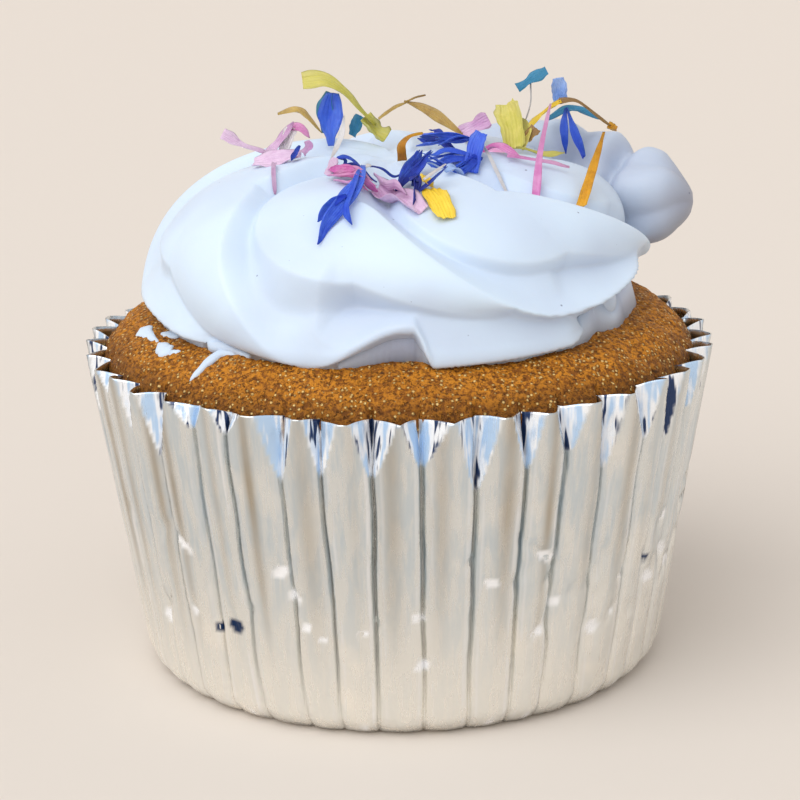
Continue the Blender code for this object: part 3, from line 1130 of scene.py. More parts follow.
    def drop(self, ridge: Ridge, places: np.ndarray) -> np.ndarray:
        """How far below the envelope one ridge's flanks lie.

        Args:
            ridge: The ridge.
            places: Points of the envelope.

        Returns:
            The drop at each point, in metres.
        """
        azimuth, share, turn = self.course(ridge)
        crest = self.envelope(azimuth, share)
        tangent = np.gradient(crest, axis=0)
        spacing = np.linalg.norm(tangent, axis=1)
        side = np.cross(self.normals(azimuth, share), tangent)
        side /= np.linalg.norm(side, axis=1)[:, None]
        squares = (places**2).sum(1)[:, None] + (crest**2).sum(1) - 2.0 * places @ crest.T
        squares = np.maximum(squares, 0.0)
        nearest = np.argmin(squares, axis=1)
        offset = places - crest[nearest]
        half = 0.5 * spacing[nearest]
        along = np.einsum("ij,ij->i", offset, tangent[nearest]) / spacing[nearest]
        along = np.clip(along, -half, half)
        gap = np.sqrt(np.maximum((offset**2).sum(1) - along**2, 0.0))
        share_of = squares - squares.min(axis=1)[:, None]
        share_of = np.exp(-share_of / (2.0 * self.smear**2)) * spacing
        share_of /= share_of.sum(axis=1)[:, None]
        facing = share_of @ side
        facing /= np.linalg.norm(facing, axis=1)[:, None]
        far = smooth_step(0.8 * MM, 3.0 * MM, gap)
        offset = offset + (places - share_of @ crest - offset) * far[:, None]
        lean = np.einsum("ij,ij->i", offset, facing)
        lean = lean / np.maximum(np.maximum(gap, np.linalg.norm(offset, axis=1)), 1e-9)
        even = np.sqrt(np.maximum((share_of * squares).sum(axis=1) - self.smear**2, 0.0))
        gap = gap + (even - gap) * far
        hollow_part = 0.5 + 0.5 * np.clip(1.6 * lean, -1.0, 1.0)
        belly_width, belly_turn = ridge.belly
        width = belly_width * MM * np.clip(1.0 - turn / belly_turn, 0.0, 1.0) ** 0.95
        width = np.where(turn < 0.0, belly_width * MM * (1.0 + turn) ** 2.2, width)
        width = width + self.belly_least
        distance = np.sqrt(squares)
        past = np.maximum(np.min(distance - width, axis=1), 0.0)
        past = np.sqrt(past**2 + (0.25 * MM) ** 2) - 0.25 * MM
        reach = np.minimum(np.min(distance / width, axis=1), 1.0)
        belly = self.belly_drop * reach**2 + self.belly_slope * past
        soft = ridge.rounding * MM
        eased = np.sqrt(gap**2 + soft**2) - soft
        low = smooth_step(8.0, 44.0, share_of @ turn)
        top_depth, top_width, low_depth, low_width = ridge.hollow
        depth = (top_depth + (low_depth - top_depth) * low) * MM
        spread = (top_width + (low_width - top_width) * low) * MM
        hollow = depth * (1.0 - np.exp(-eased / spread)) + self.hollow_rise * eased
        run = share_of @ turn / ridge.end_turn
        ending = np.clip((run - ridge.fade) / (0.96 - ridge.fade), 0.0, 1.0)
        return hollow_part * hollow + (1.0 - hollow_part) * belly + self.end_drop * ending**2

    def away(self, places: np.ndarray, mark: Merge | Lump) -> np.ndarray:
        """Distances from a mark on the envelope.

        Args:
            places: Points of the envelope.
            mark: What has the azimuth and height of the mark.

        Returns:
            The distances in millimetres.
        """
        azimuth = np.radians(np.array([mark.azimuth]))
        centre = self.envelope(azimuth, self.share_at_height(np.array([mark.height * MM])))
        return np.linalg.norm(places - centre, axis=1) / MM

    def folds(self, places: np.ndarray) -> np.ndarray:
        """Join the ridges and bulges into one skin.

        Args:
            places: Points of the envelope.

        Returns:
            How far below each of them the skin lies, in metres.
        """
        drop = np.full(len(places), self.valley_depth)
        blend = np.full(len(places), self.fold_blend)
        for merge in self.merges:
            blend = blend + merge.blend * MM * bell(self.away(places, merge), 0.0, merge.reach)
        for ridge in self.ridges:
            for part in np.array_split(np.arange(len(places)), self.chunks):
                drop[part] = soft_least(drop[part], self.drop(ridge, places[part]), blend[part])
        for lump in self.lumps:
            bulge = lump.drop + 1.4 * (self.away(places, lump) / lump.reach) ** 2
            drop = soft_least(drop, bulge * MM, blend)
        return drop

    def swirl(self) -> tuple[np.ndarray, list[tuple[int, ...]], np.ndarray]:
        """Shape the swirl without its tail.

        Returns:
            Points, faces and painted crease shade: each point's depth below the envelope as a
                share.
        """
        coarse = 1.0
        rows, columns = int(self.rows * coarse), int(self.columns * coarse)
        shares = np.linspace(0.0, 1.0, rows + 1)[1:]
        even = np.arange(columns) * 2.0 * math.pi / columns
        azimuth, share = np.meshgrid(even - 0.3 * np.sin(even), shares)
        azimuth, share = azimuth.ravel(), share.ravel()
        places = self.envelope(azimuth, share)
        drop = self.folds(places)
        drop = self.lift_ruffle(azimuth, places[:, 2], drop)
        near = np.clip(np.hypot(places[:, 0], places[:, 1]) / self.top_radius, 0.0, 1.0)
        drop = drop * near + self.top_drop * (1.0 - near)
        points = places - self.normals(azimuth, share) * drop[:, None]
        rise = np.clip((points[:, 2] - self.waist) / (self.top - self.waist), 0.0, 1.0)
        points[:, 2] += self.back_rise * rise * points[:, 1] / self.radius
        foot = points[-columns:]
        foot[:, 2] = [self.cake.top_at(x, y) - self.sunk for x, y, _ in foot]
        floor = np.array([self.cake.top_at(x, y) - self.sunk for x, y, _ in points])
        points[:, 2] = np.maximum(points[:, 2], floor)
        rings = [points]
        for keep in (0.8, 0.4):
            inner = foot * np.array([keep, keep, 0.0])
            inner[:, 2] = [self.cake.top_at(x, y) - 0.6 * MM for x, y, _ in inner]
            rings.append(inner)
        points = np.concatenate(rings)
        # painted shade: deeper valleys get darker cream
        painted_crease_shade = np.zeros(len(points))
        painted_crease_shade[: len(drop)] = drop / self.valley_depth
        return points, capped_faces(rows + 2, columns), painted_crease_shade

    def lift_ruffle(self, azimuth: np.ndarray, height: np.ndarray, drop: np.ndarray) -> np.ndarray:
        """Lift a short stretch of the front edge off the cake.

        Args:
            azimuth: Azimuth of each point, in radians.
            height: Height of each point of the envelope.
            drop: Drop below the envelope so far.

        Returns:
            The drop with the ruffle cut in.
        """
        first, full, last, end, lift = self.ruffle
        turn = (np.degrees(azimuth) + 180.0) % 360.0 - 180.0
        open_share = smooth_step(first, full, turn) * (1.0 - smooth_step(last, end, turn))
        edge = self.ruffle_foot + lift * MM * open_share
        lip = bell(height - edge, 0.7 * MM, 0.7 * MM) * np.minimum(3.0 * open_share, 1.0)
        under = np.where(open_share > 0.0, np.maximum(edge - height, 0.0), 0.0)
        return drop - self.ruffle_lip * lip + self.ruffle_slope * under

    def tail(self) -> tuple[np.ndarray, list[tuple[int, ...]], np.ndarray]:
        """Shape the rope's tail.

        Returns:
            Points, faces and groove depth.
        """
        steps, sides = self.tail_steps, self.tail_sides
        where = np.linspace(0.0, 1.0, steps)
        centre = smooth_rows(self.tail_route, where) * MM
        radius = smooth_rows(self.tail_radii, where)[:, 0] * MM
        tangent = np.gradient(centre, axis=0)
        tangent /= np.linalg.norm(tangent, axis=1)[:, None]
        level = np.cross(tangent, (0.0, 0.0, 1.0))
        level /= np.linalg.norm(level, axis=1)[:, None]
        upright = np.cross(level, tangent)
        angle = np.arange(sides) * 2.0 * math.pi / sides
        twist = math.radians(self.tail_twist) * where
        lobe = np.abs(np.cos(2.0 * (angle[None, :] - twist[:, None]))) ** 1.3
        slant = where[:, None] + 0.035 * np.sin(angle[None, :] + 0.6)
        fold = 0.10 * bell(slant, 0.60, 0.035) - 0.26 * bell(slant, 0.68, 0.030)
        fold = fold + 0.06 * bell(slant, 0.42, 0.04) - 0.12 * bell(slant, 0.50, 0.03)
        cap = np.sqrt(1.0 - np.clip((where - 0.86) / 0.14, 0.0, 1.0) ** 2)
        reach = radius[:, None] * (0.80 + 0.20 * lobe + fold) * (0.12 + 0.88 * cap)[:, None]
        points = (
            centre[:, None, :]
            + (reach * np.cos(angle))[:, :, None] * level[:, None, :]
            + (reach * np.sin(angle))[:, :, None] * upright[:, None, :]
        ).reshape(-1, 3)
        faces = [face[::-1] for face in capped_faces(steps, sides)]
        # painted shade: darker between the lobes and in the folds
        painted_crease_shade = np.clip(1.1 - lobe * 0.4 - fold * 3.0, 0.0, 1.0).ravel()
        return points, faces, painted_crease_shade

    def painted_shade_amount(self, swirl: np.ndarray, tail: np.ndarray) -> np.ndarray:
        """Painted shade: how much the frosting is greyed, the far right of the swirl a little, the
        tail's tip most.

        Args:
            swirl: Points of the swirl.
            tail: Points of the tail.

        Returns:
            A share for each point of both.
        """
        x, y, z = (swirl / MM).T
        behind = 0.5 * smooth_step(1.0, 8.0, y) * smooth_step(0.0, 8.0, x)
        behind = behind * smooth_step(38.0, 42.0, z)
        x, _, z = (tail / MM).T
        tip = 0.25 + 0.75 * smooth_step(24.5, 29.0, x - 0.35 * (z - 42.0))
        return np.concatenate([behind, tip])

    def build(self, material: bpy.types.Material) -> bpy.types.Object:
        """Make the swirl and its tail as one mesh.

        Args:
            material: The cream.

        Returns:
            The piece.
        """
        points, faces, painted_crease_shade = self.swirl()
        more, more_faces, more_painted_crease_shade = self.tail()
        faces += [tuple(i + len(points) for i in face) for face in more_faces]
        data = {
            "painted_crease_shade": np.concatenate([painted_crease_shade, more_painted_crease_shade]),
            "painted_dimness": self.painted_shade_amount(points, more),
        }
        return new_piece("frosting_piped", np.concatenate([points, more]), faces, material, data)


@dataclass(frozen=True)
class Smear:
    """A thin trail of frosting on the cake, in millimetres: places right and back, widths."""

    route: tuple[tuple[float, float], ...]
    widths: tuple[float, ...]
    height: float = 0.3


@dataclass
class Smears:
    """The streak and the little smears that the swirl left on the front left of the cake."""

    cake: Cake
    steps: int = 40
    columns: int = 9
    sunk: float = 0.5 * MM
    trails: tuple[Smear, ...] = (
        Smear(
            (
                (-12.4, -19.2),
                (-14.4, -18.0),
                (-16.0, -17.4),
                (-17.3, -18.2),
                (-18.1, -19.0),
                (-19.0, -19.6),
            ),
            (1.5, 1.3, 1.2, 0.9, 0.8, 0.35),
            0.45,
        ),
        Smear(((-24.7, -5.6), (-24.2, -6.8), (-23.5, -8.8), (-22.5, -11.2)), (0.5, 1.5, 0.8, 0.4)),
        Smear(((-22.5, -11.4), (-21.7, -13.4), (-21.0, -14.6)), (0.4, 1.5, 0.3), 0.4),
        Smear(((-21.5, -14.0), (-20.7, -14.6), (-20.1, -14.8)), (0.4, 0.7, 0.2), 0.25),
        Smear(((-22.4, -9.2), (-21.5, -10.2), (-20.6, -11.4)), (0.3, 0.9, 0.3), 0.2),
    )

    def strip(self, smear: Smear) -> tuple[np.ndarray, list[tuple[int, ...]]]:
        """Shape one trail as a low closed strip that follows the dome.

        Args:
            smear: The trail.

        Returns:
            Points and faces.
        """
        where = np.linspace(0.0, 1.0, self.steps)
        line = smooth_rows(smear.route, where) * MM
        half = 0.5 * MM * np.maximum(smooth_rows(smear.widths, where)[:, 0], 0.2)
        half = half * (1.0 + 0.12 * np.sin(17.0 * where + smear.height * 9.0))
        half = half * np.sqrt(np.maximum(1.0 - (2.0 * where - 1.0) ** 8, 0.02))
        along = np.gradient(line, axis=0)
        along /= np.linalg.norm(along, axis=1)[:, None]
        side = np.stack([-along[:, 1], along[:, 0]], -1)
        spot = np.linspace(-1.0, 1.0, self.columns)
        flat = line[:, None, :] + side[:, None, :] * (half[:, None] * spot)[:, :, None]
        ground = np.array([[self.cake.top_at(x, y) for x, y in row] for row in flat])
        crown = smear.height * MM * np.sqrt(1.0 - 0.9 * spot**2)
        crown = crown * np.sqrt(half / half.max())[:, None]
        upper = np.concatenate([flat, (ground + crown)[:, :, None]], -1)
        lower = np.concatenate([flat, (ground - self.sunk)[:, :, None]], -1)
        ring = np.concatenate([upper, lower[:, ::-1]], axis=1)
        return ring.reshape(-1, 3), capped_faces(self.steps, ring.shape[1])

    def build(self, material: bpy.types.Material) -> bpy.types.Object:
        """Make all the trails as one mesh.

        Args:
            material: The cream.

        Returns:
            The piece.
        """
        points, faces, start = [], [], 0
        for smear in self.trails:
            more, more_faces = self.strip(smear)
            points.append(more)
            faces += [tuple(i + start for i in face) for face in more_faces]
            start += len(more)
        return new_piece("frosting_smears", np.concatenate(points), faces, material)


# ------------------------------------------------------------------- petals


class Outline(Enum):
    """How a petal's width runs from root to tip, as shares of its widest."""

    BLADE = (0.30, 0.75, 1.0, 0.85, 0.08)
    TONGUE = (0.22, 0.50, 0.85, 1.0, 0.55)
    CLUB = (1.0, 0.95, 0.65, 0.45, 0.25)
    CHIP = (0.85, 1.0, 1.0, 1.0, 0.80)
    THREAD = (0.9, 1.0, 1.0, 0.9, 0.5)


class Kind(Enum):
    """Petals by colour: the main colour and the one it turns to."""

    BLUE = (linear(14, 52, 205), linear(66, 114, 236))
    DEEP_BLUE = (linear(12, 24, 132), linear(40, 80, 220))
    PALE_BLUE = (linear(112, 156, 240), linear(176, 204, 250))
    TEAL = (linear(28, 112, 150), linear(56, 140, 190))
    PINK = (linear(206, 84, 168), linear(238, 170, 215))
    PALE_PINK = (linear(232, 200, 228), linear(196, 140, 190))
    YELLOW = (linear(255, 218, 60), linear(240, 186, 20))
    ORANGE = (linear(232, 160, 20), linear(150, 84, 16))
    GREEN = (linear(186, 182, 62), linear(222, 206, 110))
    OCHRE = (linear(206, 170, 84), linear(142, 104, 52))
    WHITE = (linear(240, 236, 236), linear(222, 208, 200))


@dataclass(frozen=True)
class Petal:
    """One dried petal or filament, sizes in millimetres.

    The route runs from root to tip as right, back and height; heights over FREE_HEIGHT are
    above the table and lower ones above the frosting.
    """

    kind: Kind
    route: tuple[Triple, ...]
    width: float
    outline: Outline = Outline.BLADE
    roll: float = 0.0
    twist: float = 0.0
    cup: float = 0.35
    tint: tuple[float, float] = (0.0, 0.2)

    @property
    def free(self) -> bool:
        """Whether its heights are above the table."""
        return self.route[0][2] > FREE_HEIGHT


@dataclass(frozen=True)
class Tuft:
    """A fringed floret: narrow lobes that leave one root and spread round one tip."""

    kind: Kind
    root: Triple
    tip: Triple
    lobes: int
    spread: float
    width: float
    seed: int
    tint: tuple[float, float] = (0.0, 0.6)

    def petals(self) -> list[Petal]:
        """Lay out the lobes.

        Returns:
            One petal for each lobe.
        """
        draw = np.random.default_rng(self.seed)
        root, tip = np.array(self.root), np.array(self.tip)
        made = []
        for _ in range(self.lobes):
            end = tip + draw.uniform(-1.0, 1.0, 3) * self.spread * (1.0, 1.0, 0.5)
            middle = 0.5 * (root + end) + draw.uniform(-0.4, 0.4, 3) * self.spread * (1, 1, 0.6)
            start = root + draw.uniform(-0.3, 0.3, 3) * self.spread * (1, 1, 0.4)
            points = [start, middle, end]
            for point in points:
                point[2] = max(point[2], 0.2)
            made.append(
                Petal(
                    self.kind,
                    tuple(tuple(point) for point in points),
                    self.width * draw.uniform(0.6, 1.2),
                    roll=draw.uniform(-50.0, 50.0),
                    twist=draw.uniform(-90.0, 90.0),
                    tint=self.tint,
                )
            )
        return made


@dataclass
class PetalScatter:
    """The dried petals on top of the frosting, one mesh for each kind."""

    frosting: bpy.types.Object
    steps: int = 26
    columns: int = 7
    thickness: float = 0.10 * MM
    least_half_width: float = 0.05 * MM
    default_height: float = 45.0 * MM
    facing: Triple = (0.0, -0.5, 0.87)
    seed: int = 5

    def __post_init__(self) -> None:
        """Remember the frosting's surface."""
        mesh = self.frosting.data
        self.tree = BVHTree.FromPolygons(
            [v.co[:] for v in mesh.vertices], [p.vertices[:] for p in mesh.polygons]
        )
        self.draw = np.random.default_rng(self.seed)

    def surface(self, x: float, y: float) -> float:
        """Height of the frosting at a place, in metres."""
        hit = self.tree.ray_cast(Vector((x, y, 0.1)), Vector((0.0, 0.0, -1.0)))
        return hit[0].z if hit[0] else self.default_height

    def blade(self, petal: Petal) -> tuple[np.ndarray, list, np.ndarray, np.ndarray]:
        """Shape one petal as a thin closed leaf.

        Args:
            petal: The petal.

        Returns:
            Points, faces, place across and tint of each point.
        """
        where = np.linspace(0.0, 1.0, self.steps)
        line = smooth_rows(petal.route, where) * MM
        if not petal.free:
            lift = line[:, 2].copy()
            ground = np.array([self.surface(x, y) for x, y in line[:, :2]])
            ground = np.convolve(np.pad(ground, 3, "edge"), np.ones(7) / 7.0, "valid")
            line[:, 2] = ground + lift
        tangent = np.gradient(line, axis=0)
        tangent /= np.linalg.norm(tangent, axis=1)[:, None]
        side = np.cross(tangent, self.facing)
        side /= np.linalg.norm(side, axis=1)[:, None] + 1e-9
        face = np.cross(side, tangent)
        roll = np.radians(petal.roll + petal.twist * where)[:, None]
        across = side * np.cos(roll) + face * np.sin(roll)
        normal = face * np.cos(roll) - side * np.sin(roll)
        half = 0.5 * petal.width * MM * smooth_rows(petal.outline.value, where)[:, 0]
        phase = self.draw.uniform(0.0, 6.28, 4)
        waves = 0.08 * np.sin(9.0 * where + phase[0]) + 0.035 * np.sin(23.0 * where + phase[1])
        half = np.maximum(half * (1.0 + waves), self.least_half_width)
        spot = np.linspace(-1.0, 1.0, self.columns)
        skew = 0.25 * np.sin(6.0 * where + phase[2])[:, None]
        bend = petal.cup * (spot[None, :] ** 2 - 0.4) + skew * spot[None, :]
        bend = bend + 0.12 * np.sin(7.0 * spot[None, :] + 11.0 * where[:, None] + phase[3])
        middle = (
            line[:, None, :]
            + across[:, None, :] * (half[:, None] * spot)[:, :, None]
            + normal[:, None, :] * (half[:, None] * bend)[:, :, None]
        )
        thick = 0.5 * self.thickness * np.sqrt(1.0 - 0.85 * spot**2)
        thick = np.minimum(thick[None, :], 0.6 * half[:, None])
        upper = middle + normal[:, None, :] * thick[:, :, None]
        lower = middle - normal[:, None, :] * thick[:, :, None]
        ring = np.concatenate([upper, lower[:, ::-1]], axis=1)
        sides = ring.shape[1]
        faces = capped_faces(self.steps, sides)
        place = np.tile(np.concatenate([spot, spot[::-1]]), self.steps)
        tint = np.repeat(petal.tint[0] + (petal.tint[1] - petal.tint[0]) * where, sides)
        return ring.reshape(-1, 3), faces, place, tint

    def build(self) -> list[bpy.types.Object]:
        """Make one joined mesh for each kind.

        Returns:
            The pieces.
        """
        loose = list(PETALS)
        for tuft in TUFTS:
            loose.extend(tuft.petals())
        pieces = []
        for kind in Kind:
            points, faces, place, tint = [], [], [], []
            for petal in (one for one in loose if one.kind is kind):
                start = sum(len(group) for group in points)
                ring, more, spot, shade = self.blade(petal)
                points.append(ring)
                faces.extend(tuple(i + start for i in face) for face in more)
                place.append(spot)
                tint.append(shade)
            name = "petals_" + kind.name.lower()
            finish = PetalFinish(name, *kind.value)
            data = {"across": np.concatenate(place), "tint": np.concatenate(tint)}
            piece = new_piece(name, np.concatenate(points), faces, finish.material(), data)
            pieces.append(piece)
        return pieces


PETALS: tuple[Petal, ...] = (
    # Cornflower floret that hangs down the front, with its side lobes and threads.
    Petal(Kind.BLUE, ((-3.0, -9.0, 1.2), (-3.5, -13.2, 1.0), (-4.9, -16.2, 0.8), (-6.3, -18.2, 0.7),
          (-7.1, -19.6, 0.3)), 1.5, twist=50, tint=(0.9, 0.0)),
    Petal(Kind.BLUE, ((-3.4, -11.0, 1.2), (-3.9, -14.4, 1.1), (-4.5, -17.2, 0.9),
          (-4.0, -18.9, 0.6)), 0.8, twist=-60, tint=(0.6, 0.1)),
    Petal(Kind.BLUE, ((-4.5, -15.4, 1.0), (-6.1, -17.0, 1.3), (-7.1, -17.7, 0.6)), 0.9, roll=40),
    Petal(Kind.DEEP_BLUE, ((-6.0, -8.2, 0.5), (-4.4, -8.4, 0.9), (-3.2, -9.2, 0.8),
          (-1.8, -10.0, 0.9)), 0.55, Outline.THREAD, roll=60),
    Petal(Kind.DEEP_BLUE, ((-4.9, -8.2, 0.5), (-4.7, -8.0, 1.2), (-5.5, -7.8, 1.7)), 0.35,
          Outline.THREAD),
    Petal(Kind.DEEP_BLUE, ((-5.5, -7.8, 1.7), (-4.5, -8.2, 1.5), (-3.3, -8.9, 0.7)), 0.40,
          Outline.THREAD, tint=(0.8, 0.2)),
    Petal(Kind.DEEP_BLUE, ((-2.4, -8.6, 1.6), (-1.3, -8.4, 2.0), (-0.2, -8.6, 1.7),
          (0.7, -9.0, 1.1)), 0.28, Outline.THREAD),
    Petal(Kind.WHITE, ((-3.1, -9.4, 0.6), (-2.8, -8.8, 1.2), (-2.3, -8.6, 1.7)), 0.45,
          Outline.THREAD),
    # Deep blue lobes and the dark strand below them.
    Petal(Kind.DEEP_BLUE, ((2.0, -10.0, 1.0), (1.9, -12.6, 1.2), (1.5, -15.2, 0.5)), 0.95, twist=70,
          tint=(0.1, 0.0)),
    Petal(Kind.DEEP_BLUE, ((1.7, -14.0, 0.7), (3.2, -12.6, 1.1), (4.7, -11.6, 1.9)), 0.55, roll=30),
    Petal(Kind.WHITE, ((2.5, -12.6, 1.3), (3.6, -12.0, 1.7), (4.6, -11.3, 2.0)), 0.30,
          Outline.THREAD),
    # Pink florets under the blue one.
    Petal(Kind.PINK, ((-6.3, -9.2, 0.6), (-4.8, -10.6, 0.7), (-3.2, -11.7, 0.8),
          (-1.7, -11.7, 0.7)), 1.5, roll=20, twist=60, tint=(0.8, 0.0)),
    Petal(Kind.PINK, ((-6.2, -8.2, 1.0), (-5.0, -9.6, 0.9), (-3.6, -10.6, 1.0)), 1.0, roll=-30),
    Petal(Kind.PINK, ((-5.7, -10.6, 0.4), (-4.4, -11.9, 0.5), (-2.6, -12.7, 0.5)), 0.9, roll=30,
          tint=(0.9, 0.3)),
    Petal(Kind.PALE_PINK, ((-1.9, -10.8, 0.8), (0.0, -12.9, 0.7), (2.1, -16.0, 0.4)), 1.9,
          Outline.CHIP, roll=-15, twist=40, cup=0.9, tint=(0.5, 0.1)),
    Petal(Kind.PALE_PINK, ((-2.0, -9.4, 1.5), (-0.5, -11.6, 1.6), (0.9, -14.2, 1.0)), 1.3, roll=50,
          cup=0.8, tint=(0.2, 0.7)),
    Petal(Kind.PALE_PINK, ((-6.4, -8.6, 0.5), (-5.9, -8.2, 1.2), (-5.6, -7.9, 1.8)), 0.8,
          Outline.CHIP),
    # Folded yellow fragment.
    Petal(Kind.YELLOW, ((3.1, -12.7, 0.5), (3.8, -14.8, 0.5), (4.5, -17.2, 0.4)), 2.1, Outline.CHIP,
          cup=0.1, tint=(0.4, 0.0)),
    Petal(Kind.YELLOW, ((2.6, -11.4, 1.2), (3.1, -12.7, 0.7)), 1.1, Outline.CHIP, roll=30, cup=0.1,
          tint=(0.0, 0.9)),
    # Orange stub behind the blue lobes.
    Petal(Kind.ORANGE, ((0.6, -5.0, 50.0), (0.6, -5.0, 51.4), (1.3, -4.6, 52.2), (2.6, -4.0, 52.4)),
          0.95, Outline.CLUB, tint=(1.0, 0.0)),
    # Ochre blade with its two thin ends.
    Petal(Kind.OCHRE, ((0.9, 4.0, 54.1), (2.4, 4.0, 53.5), (4.6, 4.0, 52.2), (7.0, 4.0, 50.3)), 1.1,
          roll=10, twist=-30, tint=(0.5, 0.1)),
    Petal(Kind.OCHRE, ((-1.6, 4.0, 52.4), (-0.2, 4.0, 53.4), (1.2, 4.0, 54.0)), 0.40,
          Outline.THREAD),
    Petal(Kind.OCHRE, ((1.0, 4.0, 54.0), (2.0, 4.2, 54.4), (3.0, 4.4, 54.6)), 0.25, Outline.THREAD,
          tint=(0.2, 0.9)),
    # Broad yellow-green petal at the left with its curled root.
    Petal(Kind.GREEN, ((-8.9, 4.0, 56.1), (-6.8, 4.0, 56.3), (-5.0, 4.0, 55.2), (-3.5, 4.0, 53.5),
          (-1.9, 4.0, 51.8)), 1.8, Outline.CLUB, roll=-10, twist=25, tint=(0.5, 0.0)),
    Petal(Kind.GREEN, ((-3.0, 4.0, 52.6), (-1.9, 3.8, 51.2), (-0.9, 3.6, 50.6)), 2.2, Outline.CHIP,
          roll=15, cup=0.6),
    Petal(Kind.TEAL, ((-4.2, 5.0, 50.6), (-3.4, 5.0, 52.6)), 1.2, Outline.CHIP),
    Petal(Kind.BLUE, ((-6.3, 4.2, 49.8), (-6.3, 4.2, 52.0), (-6.0, 4.2, 55.0)), 2.4, Outline.TONGUE,
          tint=(0.9, 0.4)),
    Petal(Kind.TEAL, ((-7.0, 4.6, 51.0), (-6.9, 4.6, 53.0), (-6.3, 4.6, 55.0)), 1.6,
          Outline.TONGUE),
    Petal(Kind.WHITE, ((-4.9, 1.5, 53.2), (-5.2, -1.0, 51.6), (-6.2, -4.5, 50.0)), 0.55),
    Petal(Kind.OCHRE, ((-11.3, 2.0, 53.4), (-9.5, 2.0, 53.8), (-8.4, 2.0, 53.0), (-7.1, 2.0, 51.5)),
          1.05, roll=15, tint=(0.1, 0.0)),
    # Pale pink petals over the left shoulder.
    Petal(Kind.PALE_PINK, ((-16.6, 0.0, 51.9), (-14.6, 0.0, 50.8), (-12.0, 0.0, 49.9)), 1.4,
          Outline.CLUB, tint=(0.0, 0.3)),
    Petal(Kind.PALE_PINK, ((-12.6, -0.2, 49.7), (-11.2, 0.0, 51.0), (-9.7, 0.0, 53.0)), 1.2,
          tint=(0.1, 0.9)),
    Petal(Kind.PALE_PINK, ((-13.6, -1.4, 0.5), (-11.0, -2.0, 0.5), (-9.0, -2.2, 0.5)), 1.8,
          Outline.CHIP),
    Petal(Kind.PALE_PINK, ((-11.5, -3.4, 0.4), (-11.5, -5.8, 0.4), (-11.3, -8.0, 0.3)), 0.45,
          Outline.THREAD, tint=(0.3, 0.6)),
    Petal(Kind.WHITE, ((-10.7, -0.2, 50.2), (-10.2, 0.0, 51.6), (-9.9, 0.2, 52.4)), 1.3,
          Outline.CHIP),
    Petal(Kind.PINK, ((-10.0, 0.2, 52.2), (-9.2, 0.2, 52.4), (-8.2, 0.0, 51.4)), 1.0,
          tint=(0.1, 0.5)),
    Petal(Kind.DEEP_BLUE, ((-9.1, -2.0, 1.3), (-9.5, -2.8, 0.8), (-9.9, -3.6, 0.3)), 0.6),
    Petal(Kind.PALE_PINK, ((-8.8, -1.0, 0.4), (-8.0, -1.2, 1.4)), 1.0, Outline.CHIP,
          tint=(0.6, 1.0)),
    # Light blue strip and the white needle in the middle.
    Petal(Kind.PALE_BLUE, ((4.6, -9.8, 0.5), (5.8, -7.8, 0.7), (7.3, -6.2, 0.8)), 1.3, roll=10,
          tint=(0.5, 0.1)),
    Petal(Kind.BLUE, ((7.1, -3.8, 0.4), (7.6, -2.8, 1.6), (8.2, -2.0, 2.3)), 1.6, Outline.CHIP,
          tint=(0.2, 0.6)),
    Petal(Kind.WHITE, ((7.2, 0.5, 1.1), (9.2, -3.6, 0.8), (11.0, -7.3, 0.4)), 0.35),
    # Pink and magenta petals right of the middle.
    Petal(Kind.PALE_PINK, ((6.4, 4.0, 50.6), (7.8, 4.0, 51.5), (9.1, 4.0, 52.2)), 1.7, Outline.CHIP,
          roll=-20, tint=(0.3, 0.9)),
    Petal(Kind.PINK, ((8.4, 2.4, 0.6), (9.6, 2.0, 1.2), (10.6, 1.6, 0.9)), 1.7, Outline.CHIP,
          tint=(0.6, 1.0)),
    Petal(Kind.PINK, ((8.0, 0.6, 0.5), (9.6, -0.8, 0.7), (11.8, -2.2, 0.5)), 1.2, tint=(0.0, 0.3)),
    Petal(Kind.PINK, ((10.6, -2.4, 0.6), (13.4, -2.8, 0.7), (16.5, -2.6, 0.7)), 0.50,
          Outline.THREAD, tint=(0.2, 1.0)),
    Petal(Kind.PINK, ((12.9, -8.3, 0.5), (13.5, -5.0, 2.0), (14.3, -2.0, 4.0), (14.9, 0.4, 5.4)),
          0.75, Outline.CLUB, tint=(0.1, 1.0)),
    # Orange blade that leans on the right shoulder.
    Petal(Kind.ORANGE, ((17.3, -7.4, 45.9), (18.4, -4.0, 48.0), (19.4, -1.0, 49.9),
          (20.1, 1.5, 51.2)), 1.05, Outline.CLUB, tint=(0.0, 0.4)),
    # Blue fork, pale blue tip and teal flake at the right.
    Petal(Kind.BLUE, ((16.9, 8.8, 52.3), (16.7, 8.2, 50.4), (16.9, 8.4, 47.8)), 0.8,
          tint=(0.6, 0.0)),
    Petal(Kind.BLUE, ((17.0, 8.8, 52.4), (17.8, 8.0, 49.8), (18.7, 8.4, 47.4)), 1.0, Outline.TONGUE,
          tint=(0.6, 0.1)),
    Petal(Kind.PALE_BLUE, ((16.4, 9.6, 52.8), (16.3, 9.6, 54.0), (16.2, 9.6, 55.2)), 1.5,
          Outline.CHIP),
    Petal(Kind.TEAL, ((15.2, 10.2, 51.0), (17.8, 10.2, 52.0), (20.4, 10.2, 50.9)), 1.6, roll=10),
    Petal(Kind.TEAL, ((12.1, 8.0, 54.5), (13.5, 8.0, 55.4), (15.0, 8.0, 56.2)), 1.4, Outline.CHIP,
          cup=0.1),
    Petal(Kind.WHITE, ((13.4, 8.0, 55.0), (13.3, 7.0, 53.0), (12.4, 6.0, 50.6)), 0.16,
          Outline.THREAD),
    # Crumpled yellow-green petal with its strand.
    Petal(Kind.GREEN, ((11.4, 1.0, 50.0), (11.3, 3.0, 51.4), (11.0, 5.0, 52.6), (10.8, 6.0, 53.4)),
